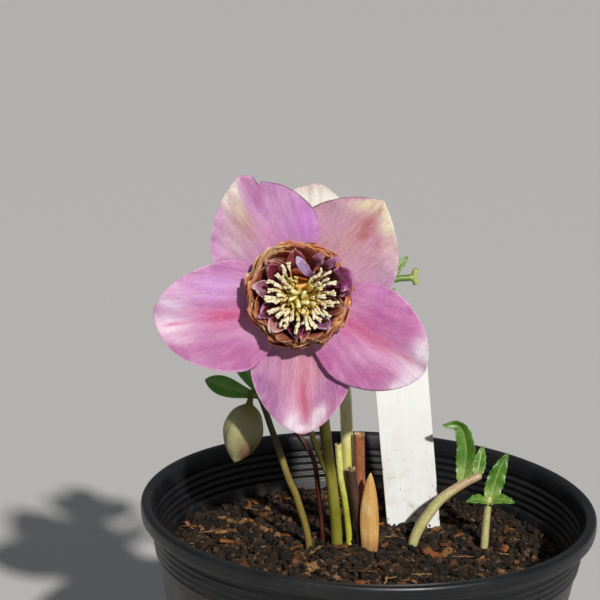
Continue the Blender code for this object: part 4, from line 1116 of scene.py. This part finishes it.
def anther(start, end, radius, roll, seed):
    """Two knobbly pollen sacs side by side from start to end, parting a little at their tips."""
    start, end = np.asarray(start, float), np.asarray(end, float)
    ahead = (end - start) / np.linalg.norm(end - start)
    side = np.array(Vector(ahead).orthogonal().normalized())
    side = side * math.cos(roll) + np.cross(ahead, side) * math.sin(roll)
    share = np.linspace(0, 1, 8)[:, None]
    bow = radius * 0.8 * math.sin(seed * 31) * np.sin(math.pi * share) * np.cross(ahead, side)
    sacs = []
    for sign in (-1, 1):
        knobs = 0.68 + 0.13 * np.sin(share[:, 0] * 13 + seed * 19 + sign) - 0.2 * (1 - share[:, 0]) ** 4
        apart = sign * radius * (0.34 + 0.4 * share ** 3 + 0.08 * np.sin(share * 9 + seed * 7))
        route = start + (end - start) * share + side * apart + bow
        sacs.append(tube(route, radius * knobs, 8, seed, domed=True))
    return joined(sacs)


def build_stamens(node, place, inner, outer, count, reach, top, slot, gap=None, short=0, bare=0):
    """Stamens on a spiral, the outer ones lower and leaning further out, each a pale filament with
    a cream anther, short golden ones round the middle and bare golden filaments between them."""
    draw = random.Random(3)
    profile = [(inner - 0.7, 0), (outer, 0.1), (outer - 0.5, 1.6), (inner, 2.6), (inner - 0.7, 2.7)]
    ring = turned([(radius, STAMEN_FOOT + z) for radius, z in profile], 40)
    heap = []
    put(heap, ring, (250, 208, 104), ((222, 106, 30), 0.95 * patch(ring, 0.6, 4.8, 3.2, 1.9)))
    for k in range(count + short):
        share = math.sqrt((k + 0.5) / (count + short))
        heading = (GOLDEN_TURN * k + draw.uniform(-6, 6)) % 360
        bend, roll = draw.uniform(-14, 14), draw.uniform(0, math.pi)
        out = reach * (0.27 + 0.74 * share) + draw.uniform(-0.5, 0.5)
        crown = top + 0.5 - 1.5 * share ** 2 + draw.uniform(-0.4, 0.4)
        if gap and gap[0] < heading < gap[1]:
            continue
        length = draw.uniform(1.7, 2.5) * (1 if k >= short else 0.6)
        rise = math.radians(62 - 46 * share + draw.uniform(-10, 10))
        end = polar(out, heading, crown)
        start = polar(out - length * math.cos(rise), heading - bend * 0.5, crown - length * math.sin(rise))
        knee = polar((out + inner) * 0.48, heading - bend * 0.3, crown - 3.2)
        root = polar((inner + outer) / 2 - 0.2, heading, STAMEN_FOOT + 1.2)
        filament = tube(curve_through([root, knee, start], 12), np.linspace(0.17, 0.24, 13), 7, k * 0.17)
        put(heap, filament, (226, 172, 70), ((244, 226, 158), filament[2][:, 0]))
        sacs = anther(start, end, 0.44 if k >= short else 0.36, roll, k * 0.17)
        put(heap, sacs, (255, 244, 204) if k >= short else (252, 226, 140),
            ((240, 190, 112), 0.55 * ramp(0.3 - sacs[2][:, 0], 0, 0.3)),
            # Mottled warm darker patches and pale spots on the anthers: painted shade and painted
            # highlights
            ((240, 200, 132), 0.5 * ramp(mottle(sacs[0], 0.6, 6), 0.2, 1.2)),
            ((255, 251, 232), 0.7 * ramp(mottle(sacs[0], 0.9, 7), 0, 1)))
    for k in range(bare):
        heading = GOLDEN_TURN * (k + 0.5) % 360
        if gap and gap[0] < heading < gap[1] - 8:
            continue
        out, crown = draw.uniform(2.7, 5.6), top - draw.uniform(1.2, 3.4)
        route = [polar(draw.uniform(2.4, 3.6), heading, STAMEN_FOOT + 1.6),
                 polar(out * 0.8, heading + draw.uniform(-8, 8), crown - 2.0), polar(out, heading, crown)]
        filament = tube(curve_through(route, 10), np.linspace(0.2, 0.3, 11), 7, k * 0.13, domed=True)
        put(heap, filament, (246, 192, 70), ((255, 236, 136), filament[2][:, 0]))
    mat = plant_material(slot + "_fine", roughness=0.6, streaks=(2.0, 4.0), streak_depth=0.1, grain=5.0,
                         grain_depth=0.14, bump=0.08, glow=(0.25, (0.8, 0.6, 0.25), 0.0008))
    tuft, tint = gathered(heap)
    if bare:
        tuft = leaned(tuft, *STAMEN_LEAN)
    dress(node, moved(tuft, place), mat, tint)


def carpel_shapes(count, top):
    """Pointed carpels side by side, whose styles end in small hooked tips."""
    shapes = [turned([(0, 5.05), (2.2, 5.05), (2.0, 7.0), (0, 7.2)], 32)]
    for k in range(count):
        heading = 360 / count * k + 20 + 9 * math.sin(k * 2.3)
        lean = 0.35 * math.sin(k * 1.7)
        route = [polar(1.0, heading, 6.4), polar(1.35, heading, 8.6),
                 polar(1.1 + lean, heading, top - 2.4), polar(1.2 + lean, heading + 14, top - 0.7 + lean),
                 polar(2.1 + lean, heading + 30, top + lean)]
        radii = np.interp(np.linspace(0, 4, 25), range(5), (0.8, 0.95, 0.6, 0.42, 0.55))
        shapes.append(tube(curve_through(route, 24), radii, 12, 0.3 * k, 2, 0.1, domed=True))
    return shapes


def receptacle():
    """Swelling behind the sepals with a short post through their middle."""
    profile = [(0, -5.2), (1.2, -5.15), (1.6, -4.8), (1.8, -3.4), (2.5, -2.4), (3.4, -1.6), (4.1, -1.15),
               (4.2, -0.95), (3.9, -0.8), (POST_RADIUS, -0.75), (POST_RADIUS, 4.7), (0, 4.75)]
    return turned(profile, 40)


# Stalks

def stalk(path, radii, steps=60, sides=18, ridges=7, rise=0.03, seed=0.0, domed=False):
    """A round stalk with faint ridges along a smooth route, its radius drawn through the given ones."""
    along = np.linspace(0, len(radii) - 1, steps + 1)
    widths = np.interp(along, range(len(radii)), radii)
    return tube(curve_through(path, steps), widths, sides, seed, ridges, rise, domed)


def build_main_bloom():
    place = flower_matrix(BLOOM_CENTRE, -1, BLOOM_TILT_DEG)
    petal = plant_material("sepal_mauve", roughness=0.52, streaks=(4.0, 22.0), streak_depth=0.06,
                           grain=1.4, grain_depth=0.08, bump=0.1,
                           veins=((150, 56, 116), (236, 198, 226), (4.0, 15.0)), gloss=0.35,
                           Sheen_Weight=0.1, glow=(0.18, (0.9, 0.35, 0.6), 0.0012))
    for spec in SEPALS:
        notch = NOTCH if spec[0] == "sepal_top_left" else None
        shape, across, edge = sepal(spec, BLOOM_OPENING, SEPAL_ROOT, SEPAL_FINE, notch)
        tint = sepal_tint(spec[0], shape, across, edge)
        dress(spec[0], moved(shape, place), petal, tint)
    build_ruff(place)
    build_petaloids(place)
    build_stamens("stamens", place, inner=2.6, outer=5.0, count=60, reach=9.0, top=13.8,
                  slot="anther_cream", gap=STAMEN_GAP, short=16, bare=90)
    shape = joined(carpel_shapes(5, 14.0))
    height = shape[0][:, 2]
    tint = paint(shape, (242, 200, 84), ((252, 228, 116), ramp(height, 7, 10)),
                 ((255, 246, 178), ramp(height, 12.4, 14)))
    mat = plant_material("carpel_yellow", roughness=0.45, streaks=(3.0, 6.0), streak_depth=0.12,
                         grain=3.0, grain_depth=0.1, bump=0.05, glow=(0.25, (0.8, 0.6, 0.2), 0.0008))
    dress("carpels", moved(shape, place), mat, tint)

    small = leaf([(-20.3, -9.4, 136), (-21.2, -9.2, 140), (-22.0, -9.4, 145)], 2.2, (0, 1, 0.2), teeth=0.15)
    stem = stalk(MAIN_STEM, (1.6, 1.5, 1.5, 1.4, 1.6), 90)
    side = stalk(SIDE_STALK, (0.8, 0.75, 0.7), 30, 12)
    shape = joined([stem, moved(receptacle(), place), side, small])
    points = shape[0]
    z, lit = points[:, 2], mottle(points, 5, 31)
    tint = paint(shape, (150, 144, 50), ((172, 164, 74), 0.5 * ramp(lit, -0.2, 1)),
                 # The top, from z 106 up, is painted dark olive: painted shade of the bloom above it
                 ((62, 52, 20), 0.9 * ramp(z, 106, 113)), ((112, 120, 36), 0.3 * ramp(-lit, 0, 1)),
                 ((112, 66, 74), 0.8 * ramp(z, 140, 158)))
    mat = plant_material("stem_olive", roughness=0.42, streaks=(22.0, 4.0), streak_depth=0.2, grain=2.0,
                         grain_depth=0.12, bump=0.08, gloss=0.5)
    dress("main_stem", shape, mat, tint)


def build_back_bloom():
    place = flower_matrix(BACK_CENTRE, 1, BACK_TILT_DEG)
    petal = plant_material("sepal_cream", roughness=0.52, streaks=(7.0, 36.0), streak_depth=0.1,
                           grain=1.6, grain_depth=0.08, bump=0.12,
                           veins=((206, 176, 150), (250, 244, 236), (5.0, 15.0)), gloss=0.35,
                           glow=(0.2, (0.9, 0.7, 0.5), 0.0012))
    for spec in BACK_SEPALS:
        shape, _, edge = sepal(spec, BACK_OPENING, BACK_SEPAL_ROOT, BACK_SEPAL_FINE, ripple=0.2)
        u = shape[2][:, 0]
        tint = paint(shape, (240, 236, 226), ((214, 218, 170), 0.8 * ramp(0.35 - u, 0, 0.3)),
                     ((226, 192, 192), 0.6 * ramp(u, 0.8, 0.98)),
                     ((206, 148, 164), 0.5 * edge))
        dress(spec[0], moved(shape, place), petal, tint)

    scoops = [turned([(3.3, 5.2), (5.3, 5.6), (5.3, 6.9), (3.3, 6.7)], 40)]
    for k in range(8):
        route = [(4.7, 6.3), (6.4, 7.0), (7.2, 8.6), (7.1, 10.2 + 0.4 * (k % 2))]
        scoops.append(scoop(route, 45 * k, 1.9, 0.4, (18, 14), 0.45, 0.14, seed=0.23 * k))
    shape = joined(scoops)
    tint = paint(shape, (172, 170, 78), ((214, 196, 112), ramp(shape[0][:, 2], 8, 10.5)))
    mat = plant_material("nectary_green", roughness=0.42, streaks=(4.0, 8.0), streak_depth=0.15,
                         grain=2.0, grain_depth=0.1, bump=0.06, glow=(0.2, (0.6, 0.7, 0.2), 0.0008))
    dress("back_nectaries", moved(shape, place), mat, tint)
    build_stamens("back_stamens", place, inner=1.8, outer=3.0, count=22, reach=5.0, top=11.6,
                  slot="back_anther")
    shape = joined(carpel_shapes(3, 12.4))
    tint = paint(shape, (176, 176, 70), ((236, 216, 110), ramp(shape[0][:, 2], 7, 10)))
    make_piece("back_carpels_fine", moved(shape, place), bpy.data.materials["carpel_yellow"], tint)

    shapes = [stalk(BACK_STEM, (1.6, 1.7, 1.7, 1.6), 90), moved(receptacle(), place),
              leaf([(-10.6, 6.0, 146), (-3.5, 5.6, 154), (4, 7, 161.5), (8.6, 9, 165.6)], 2.6,
                   (0, -1, 0.3), half_teeth=14, teeth=0.12, crinkle=0.15),
              stalk([(-10.4, 6.2, 145), (-3, 7, 152), (4, 9, 158.6), (10.8, 10, 159.8)],
                    (0.6, 0.8, 0.9), 30, 12),
              stalk([(11.2, 10, 157.9), (10.5, 10, 159.8), (10.9, 9.9, 162)], (0.8, 1.0, 0.8), 12, 12),
              leaf([(-10.0, 6.4, 144), (-4, 5, 149), (2, 6, 153.5), (5.4, 8, 157)], 2.2,
                   (0, -1, 0.4), half_teeth=14, teeth=0.12, crinkle=0.15)]
    shape = joined(shapes)
    points = shape[0]
    x, z, lit = points[:, 0], points[:, 2], mottle(points, 6, 41)
    tint = paint(shape, (226, 224, 128), ((206, 204, 104), 0.4 + 0.4 * lit),
                 ((136, 148, 56), ramp(107 - z, 0, 8)),
                 # Painted light: the stretch from z 110 to 150 is painted pale cream to lift it out of the
                 # bloom's shadow
                 ((252, 246, 186), 0.85 * ramp(z, 110, 118) * ramp(150 - z, 0, 10)),
                 ((96, 140, 44), 0.9 * ramp(x, -6, 0) * ramp(z, 130, 140)),
                 ((196, 208, 120), 0.9 * ramp(x, 9.2, 10.4)))
    mat = plant_material("stem_pale_green", roughness=0.42, streaks=(30.0, 5.0), streak_depth=0.16,
                         grain=2.2, grain_depth=0.1, bump=0.07, gloss=0.5,
                         glow=(0.1, (0.5, 0.7, 0.2), 0.001))
    dress("back_stem", shape, mat, tint)


def build_bud():
    """Egg-shaped bud of lapping sepals, each edge a small step, with its stem, its two bracts and
    the thin red stalk behind it."""
    axis = BUD_TIP - BUD_BASE
    fine = curve_through([(share, along, 0) for share, along in BUD_OUTLINE], 56)
    sides = 5 * BUD_SECTOR
    points, place = [], []
    for share, along, _ in fine:
        share = max(share, 0.01)
        for k in range(sides):
            sector = (k % BUD_SECTOR) / BUD_SECTOR
            lap = ramp(sector, 0.0, 0.82) * (1 - ramp(sector, 0.9, 1.0))
            turn = 2 * math.pi * (k / sides + 0.12 * along)
            reach = BUD_RADIUS * share * (0.94 + 0.09 * lap * share)
            points.append((reach * math.cos(turn), reach * math.sin(turn), along * axis.length))
            place.append((along, sector * 2 - 1, k // BUD_SECTOR, 0))
    points, place = np.array(points), np.array(place)
    shape = (points, bands(len(fine), sides) + end_caps(len(fine), sides), place)
    along, sector = place[:, 0], place[:, 1]
    blush = mottle(points, 5, 52)
    tint = paint(shape, (166, 162, 102), ((190, 190, 142), 0.7 * ramp(blush, -0.3, 0.8)),
                 ((144, 148, 66), 0.8 * ramp(0.2 - along, 0, 0.2)),
                 ((146, 104, 84), 0.85 * ramp(-blush, -0.9, 0.3) * ramp(along, 0.45, 0.72)),
                 ((134, 88, 74), 0.5 * ramp(sector, 0.62, 0.9) * ramp(along, 0.3, 0.6)),
                 ((212, 212, 150), 0.95 * ramp(along, 0.88, 0.95)))
    turn = axis.to_track_quat("Z", "Y").to_matrix().to_4x4()
    shape = moved(shape, Matrix.Translation(BUD_BASE) @ turn)
    mat = plant_material("bud_cream_green", roughness=0.45, streaks=(3.0, 14.0), streak_depth=0.14,
                         grain=1.8, grain_depth=0.1, bump=0.1, gloss=0.4,
                         glow=(0.2, (0.7, 0.6, 0.3), 0.001))
    dress("bud", shape, mat, tint)

    left = leaf([(-29.8, -1.6, 128.4), (-34, -2.6, 129.6), (-39, -4.0, 131.4), (-44.6, -5, 133.6)], 2.7,
                (0, -1, 0.5), late=2.2, fine=(50, 18), seed=0.3)
    upper = leaf([(-29.8, -1.6, 128.4), (-31.8, -1.2, 132), (-34.2, -0.6, 136), (-36, 0, 139)], 2.5,
                 (0, -1, 0.2), late=1.9, fine=(50, 18), seed=0.6)
    neck = tube([(-32.45, -2.9, 128.6), (-32.6, -3.4, 127.6), (-32.7, -3.6, 127.0), (-32.8, -3.75, 126.3)],
                (0.7, 0.85, 1.0, 1.5), 24)
    shape = joined([stalk(BUD_STEM, (1.0, 0.95, 0.8, 0.75), 80, 14), neck, left, upper])
    points, _, place = shape
    z, lit = points[:, 2], mottle(points, 4, 61)
    blades = place[:, 2] > 0
    rib = np.exp(-(place[:, 1] / 0.12) ** 2)
    tint = paint(shape, (152, 134, 66), ((128, 104, 58), 0.6 * ramp(lit, -0.2, 1)),
                 # The stalk's top, from z 110 up, is painted dark: painted shade of the sepals above it
                 ((84, 72, 44), 0.9 * ramp(z, 110, 116)), ((120, 128, 60), 0.8 * ramp(z, 122, 127)),
                 # The bracts' green is painted lighter than their own colour: painted light against the
                 # sepals' shadow that lies on them
                 ((98, 168, 62), blades), ((132, 192, 82), 0.6 * blades * ramp(lit, -0.2, 1)),
                 ((166, 206, 108), 0.7 * blades * rib))
    mat = plant_material("bract_green", roughness=0.4, streaks=(14.0, 6.0), streak_depth=0.2, grain=2.0,
                         grain_depth=0.12, bump=0.1, gloss=0.5)
    dress("bud_stem", shape, mat, tint)

    folded = leaf([(-26.2, 4.1, 127.6), (-28, 4.6, 133), (-28.4, 5.4, 139)], 2.4, (0, -1, 0), teeth=0.12,
                  seed=0.5)
    shape = joined([stalk(RED_STALK, (0.75, 0.7, 0.65), 60, 12), folded])
    z, blades = shape[0][:, 2], shape[2][:, 2] > 0
    tint = paint(shape, (96, 44, 34), ((140, 84, 60), 0.6 * ramp(mottle(shape[0], 5, 71), 0, 1)),
                 ((52, 78, 32), 0.9 * blades), ((70, 28, 26), 0.5 * ramp(108 - z, 0, 14)))
    mat = plant_material("stalk_red_brown", roughness=0.45, streaks=(20.0, 5.0), streak_depth=0.24,
                         grain=2.2, grain_depth=0.14, bump=0.08)
    dress("red_stalk", shape, mat, tint)


def torn(path, radii, steps, sides, seed, jag):
    """A broken-off stalk: a ridged tube whose top edge is ragged round a sunk pith."""
    points, faces, place = stalk(path, radii, steps, sides, 9, 0.05, seed)
    draw = np.random.default_rng(int(seed * 100))
    ahead = np.array(Vector(path[-1]) - Vector(path[-2])) / (Vector(path[-1]) - Vector(path[-2])).length
    last = np.arange(len(points) - sides, len(points))
    points[last] += ahead * (draw.uniform(-jag, 0, sides) - 0.1)[:, None]
    centre = points[last].mean(axis=0) - ahead * jag * 0.7
    faces = faces[:-1] + [(int(last[k]), int(last[(k + 1) % sides]), len(points)) for k in range(sides)]
    return np.vstack([points, centre]), faces, np.vstack([place, (0.97, 0, seed, 0)])


def build_crown():
    """Cut and dead stalks of earlier leaves, and the papery sheath of a new shoot."""
    stubs = (
        ("stub_pale", (PALE_STUB, (0.8, 0.9, 0.95), 40, 24, 0.21, 0.9), (234, 232, 132), (198, 198, 66),
         103, 0.2),
        ("stub_dark", (DARK_STUB, (1.0, 1.2, 1.3), 40, 24, 0.43, 1.0), (76, 50, 34), (56, 36, 24), 98, 0.6),
        ("stub_rusty", (RUSTY_STUB, (1.2, 1.4, 1.5), 50, 26, 0.64, 1.8), (170, 100, 58), (188, 118, 88),
         104, 0.6),
    )
    for name, body, high, low, middle, brown in stubs:
        shape = torn(*body)
        points, _, place = shape
        tint = paint(shape, high, (low, ramp(middle - points[:, 2], -4, 6)),
                     ((110, 64, 36), brown * ramp(mottle(points, 3, 81), 0.2, 1.2)),
                     ((228, 198, 146), 0.9 * ramp(place[:, 0], 0.965, 0.985)))
        mat = plant_material(name, roughness=0.7, streaks=(14.0, 9.0), streak_depth=0.34, grain=1.6,
                             grain_depth=0.18, bump=0.18)
        dress(name, shape, mat, tint)
    shape = leaf(SHEATH, 2.6, (0, -1, 0), -0.35, thickness=0.7, late=1.3, crinkle=0.12, fine=(60, 22),
                 seed=0.8)
    points, _, place = shape
    tint = paint(shape, (238, 186, 108), ((248, 214, 150), 0.7 * ramp(mottle(points, 3, 91), -0.2, 1)),
                 ((216, 142, 76), 0.8 * ramp(np.abs(place[:, 1]), 0.6, 1)),
                 ((162, 104, 60), 0.7 * ramp(91 - points[:, 2], 0, 5)))
    mat = plant_material("sheath_tan", roughness=0.62, streaks=(4.0, 30.0), streak_depth=0.3, grain=2.0,
                         grain_depth=0.14, bump=0.16, glow=(0.15, (0.8, 0.5, 0.2), 0.001))
    dress("sheath", shape, mat, tint)


LEAFLET_FINE = (48, 14)
YOUNG_TOOTH_DEPTH = 0.13

# name, stalk, and for each leaflet its route, half width, facing, fold, count of half teeth,
# fineness, crinkle and seed
YOUNG_LEAVES = (
    ("young_leaf", (YOUNG_STALK, (1.3, 1.5, 1.1), 50, 16), (
        (((26.2, 8.6, 101.6), (26.9, 9.6, 107), (26.9, 10, 113), (24.9, 10, 118.2), (20.0, 9.4, 118.6)),
         2.8, (-0.2, -1, 0), 0.5, 22, (96, 20), 0.3, 0.2),
        (((30.2, 9, 104), (31.0, 11.5, 107.5), (32.0, 14, 111.5)),
         2.0, (0, -1, 0.3), 0.4, 12, LEAFLET_FINE, 0.2, 0.4),
        (((29.6, 9, 103.8), (28.5, 12.5, 107), (28.6, 16, 112)),
         1.9, (0, -1, 0.5), 0.4, 12, LEAFLET_FINE, 0.2, 0.6),
    )),
    ("young_leaf_right", (SECOND_STALK, (1.0, 1.1, 0.9), 30, 14), (
        (((33.8, 7.8, 97), (35.0, 8.6, 102), (36.4, 9.2, 106.5), (38.6, 10, 111)),
         2.7, (0, -1, 0.1), 0.3, 18, (80, 20), 0.3, 0.3),
        (((33.8, 7.8, 97), (30.6, 5.5, 98.6), (27.2, 4, 98.4)),
         1.9, (0, -0.6, 1), 0.3, 12, LEAFLET_FINE, 0.2, 0.5),
        (((33.9, 7.8, 97), (37, 6, 98.6), (40.6, 5, 98.2)),
         1.9, (0, -0.6, 1), 0.3, 12, LEAFLET_FINE, 0.2, 0.7),
    )),
)


def build_young_leaves():
    green = plant_material("young_leaf_green", roughness=0.4, streaks=(18.0, 5.0), streak_depth=0.2,
                           grain=1.8, grain_depth=0.12, bump=0.14, gloss=0.55,
                           glow=(0.12, (0.4, 0.8, 0.2), 0.001))
    for name, foot, leaflets in YOUNG_LEAVES:
        shapes = [stalk(*foot, domed=True)]
        for route, half_width, facing, fold, half_teeth, fine, crinkle, seed in leaflets:
            shapes.append(leaf(route, half_width, facing, fold, YOUNG_TOOTH_DEPTH, half_teeth, fine=fine,
                               crinkle=crinkle, seed=seed))
        shape = joined(shapes)
        points, _, place = shape
        blades, v = place[:, 2] > 0, place[:, 1]
        across = (place[:, 0] * 8 - np.abs(v) * 1.6) % 1 - 0.5
        veins = np.exp(-(across / 0.12) ** 2) * ramp(np.abs(v), 0.05, 0.2)
        tint = paint(shape, (208, 200, 136), ((208, 166, 140), 0.8 * ramp(points[:, 2], 98, 103)),
                     ((78, 128, 34), blades),
                     ((118, 164, 58), blades * (0.4 + 0.5 * mottle(points, 5, 102))),
                     ((168, 194, 106), 0.8 * blades * ramp(0.42 - place[:, 0], 0, 0.3)),
                     ((58, 104, 28), 0.5 * blades * veins),
                     ((160, 192, 96), 0.7 * blades * np.exp(-(v / 0.1) ** 2)))
        dress(name, shape, green, tint)


# Stage

def build_camera():
    down, roll = math.radians(CAMERA_DOWN_DEG), math.radians(CAMERA_ROLL_DEG)
    ahead = Vector((0, math.cos(down), -math.sin(down)))
    level, upright = Vector((1, 0, 0)), Vector((0, math.sin(down), math.cos(down)))
    right = level * math.cos(roll) + upright * math.sin(roll)
    up = upright * math.cos(roll) - level * math.sin(roll)
    data = bpy.data.cameras.new("camera")
    data.lens, data.sensor_width, data.clip_start = CAMERA_LENS, CAMERA_SENSOR, CAMERA_CLIP
    camera = bpy.data.objects.new("camera", data)
    turn = Matrix((right, up, -ahead)).transposed().to_4x4()
    camera.matrix_world = Matrix.Translation(CAMERA_PLACE * MM) @ turn
    bpy.context.scene.collection.objects.link(camera)
    bpy.context.scene.camera = camera


def build_stage():
    """Pale floor, one key light from the upper right and an even dome."""
    look = Look("pale_floor", Specular_IOR_Level=0.2)
    shade = look.noise(0.9, 2.0)
    colour = look.cover((0.56, 0.555, 0.545, 1), (0.58, 0.575, 0.565, 1), shade, 0.3, 0.7)
    floor_mat = look.finish(colour, look.swing(shade, 0.75, 0.85), [(shade, 0.05, 0.05)])
    mesh = bpy.data.meshes.new("floor")
    corners = [(x * FLOOR_REACH, y * FLOOR_REACH, 0) for x, y in ((-1, -1), (1, -1), (1, 1), (-1, 1))]
    mesh.from_pydata(corners, [], [(0, 1, 2, 3)])
    mesh.materials.append(floor_mat)
    floor = bpy.data.objects.new("floor", mesh)
    bpy.context.scene.collection.objects.link(floor)

    key = bpy.data.lights.new("key", "SUN")
    key.energy, key.angle, key.color = KEY_ENERGY, math.radians(KEY_ANGLE_DEG), KEY_COLOUR
    lamp = bpy.data.objects.new("key", key)
    lamp.rotation_euler = [math.radians(angle) for angle in KEY_TURN_DEG]
    bpy.context.scene.collection.objects.link(lamp)
    world = bpy.data.worlds.new("dome")
    world.use_nodes = True
    background = world.node_tree.nodes["Background"]
    background.inputs["Color"].default_value = DOME_COLOUR
    background.inputs["Strength"].default_value = DOME_STRENGTH
    bpy.context.scene.world = world
    bpy.context.scene.view_settings.view_transform = "Standard"


build_camera()
build_pot()
build_soil()
build_label()
build_main_bloom()
build_back_bloom()
build_bud()
build_crown()
build_young_leaves()
build_stage()
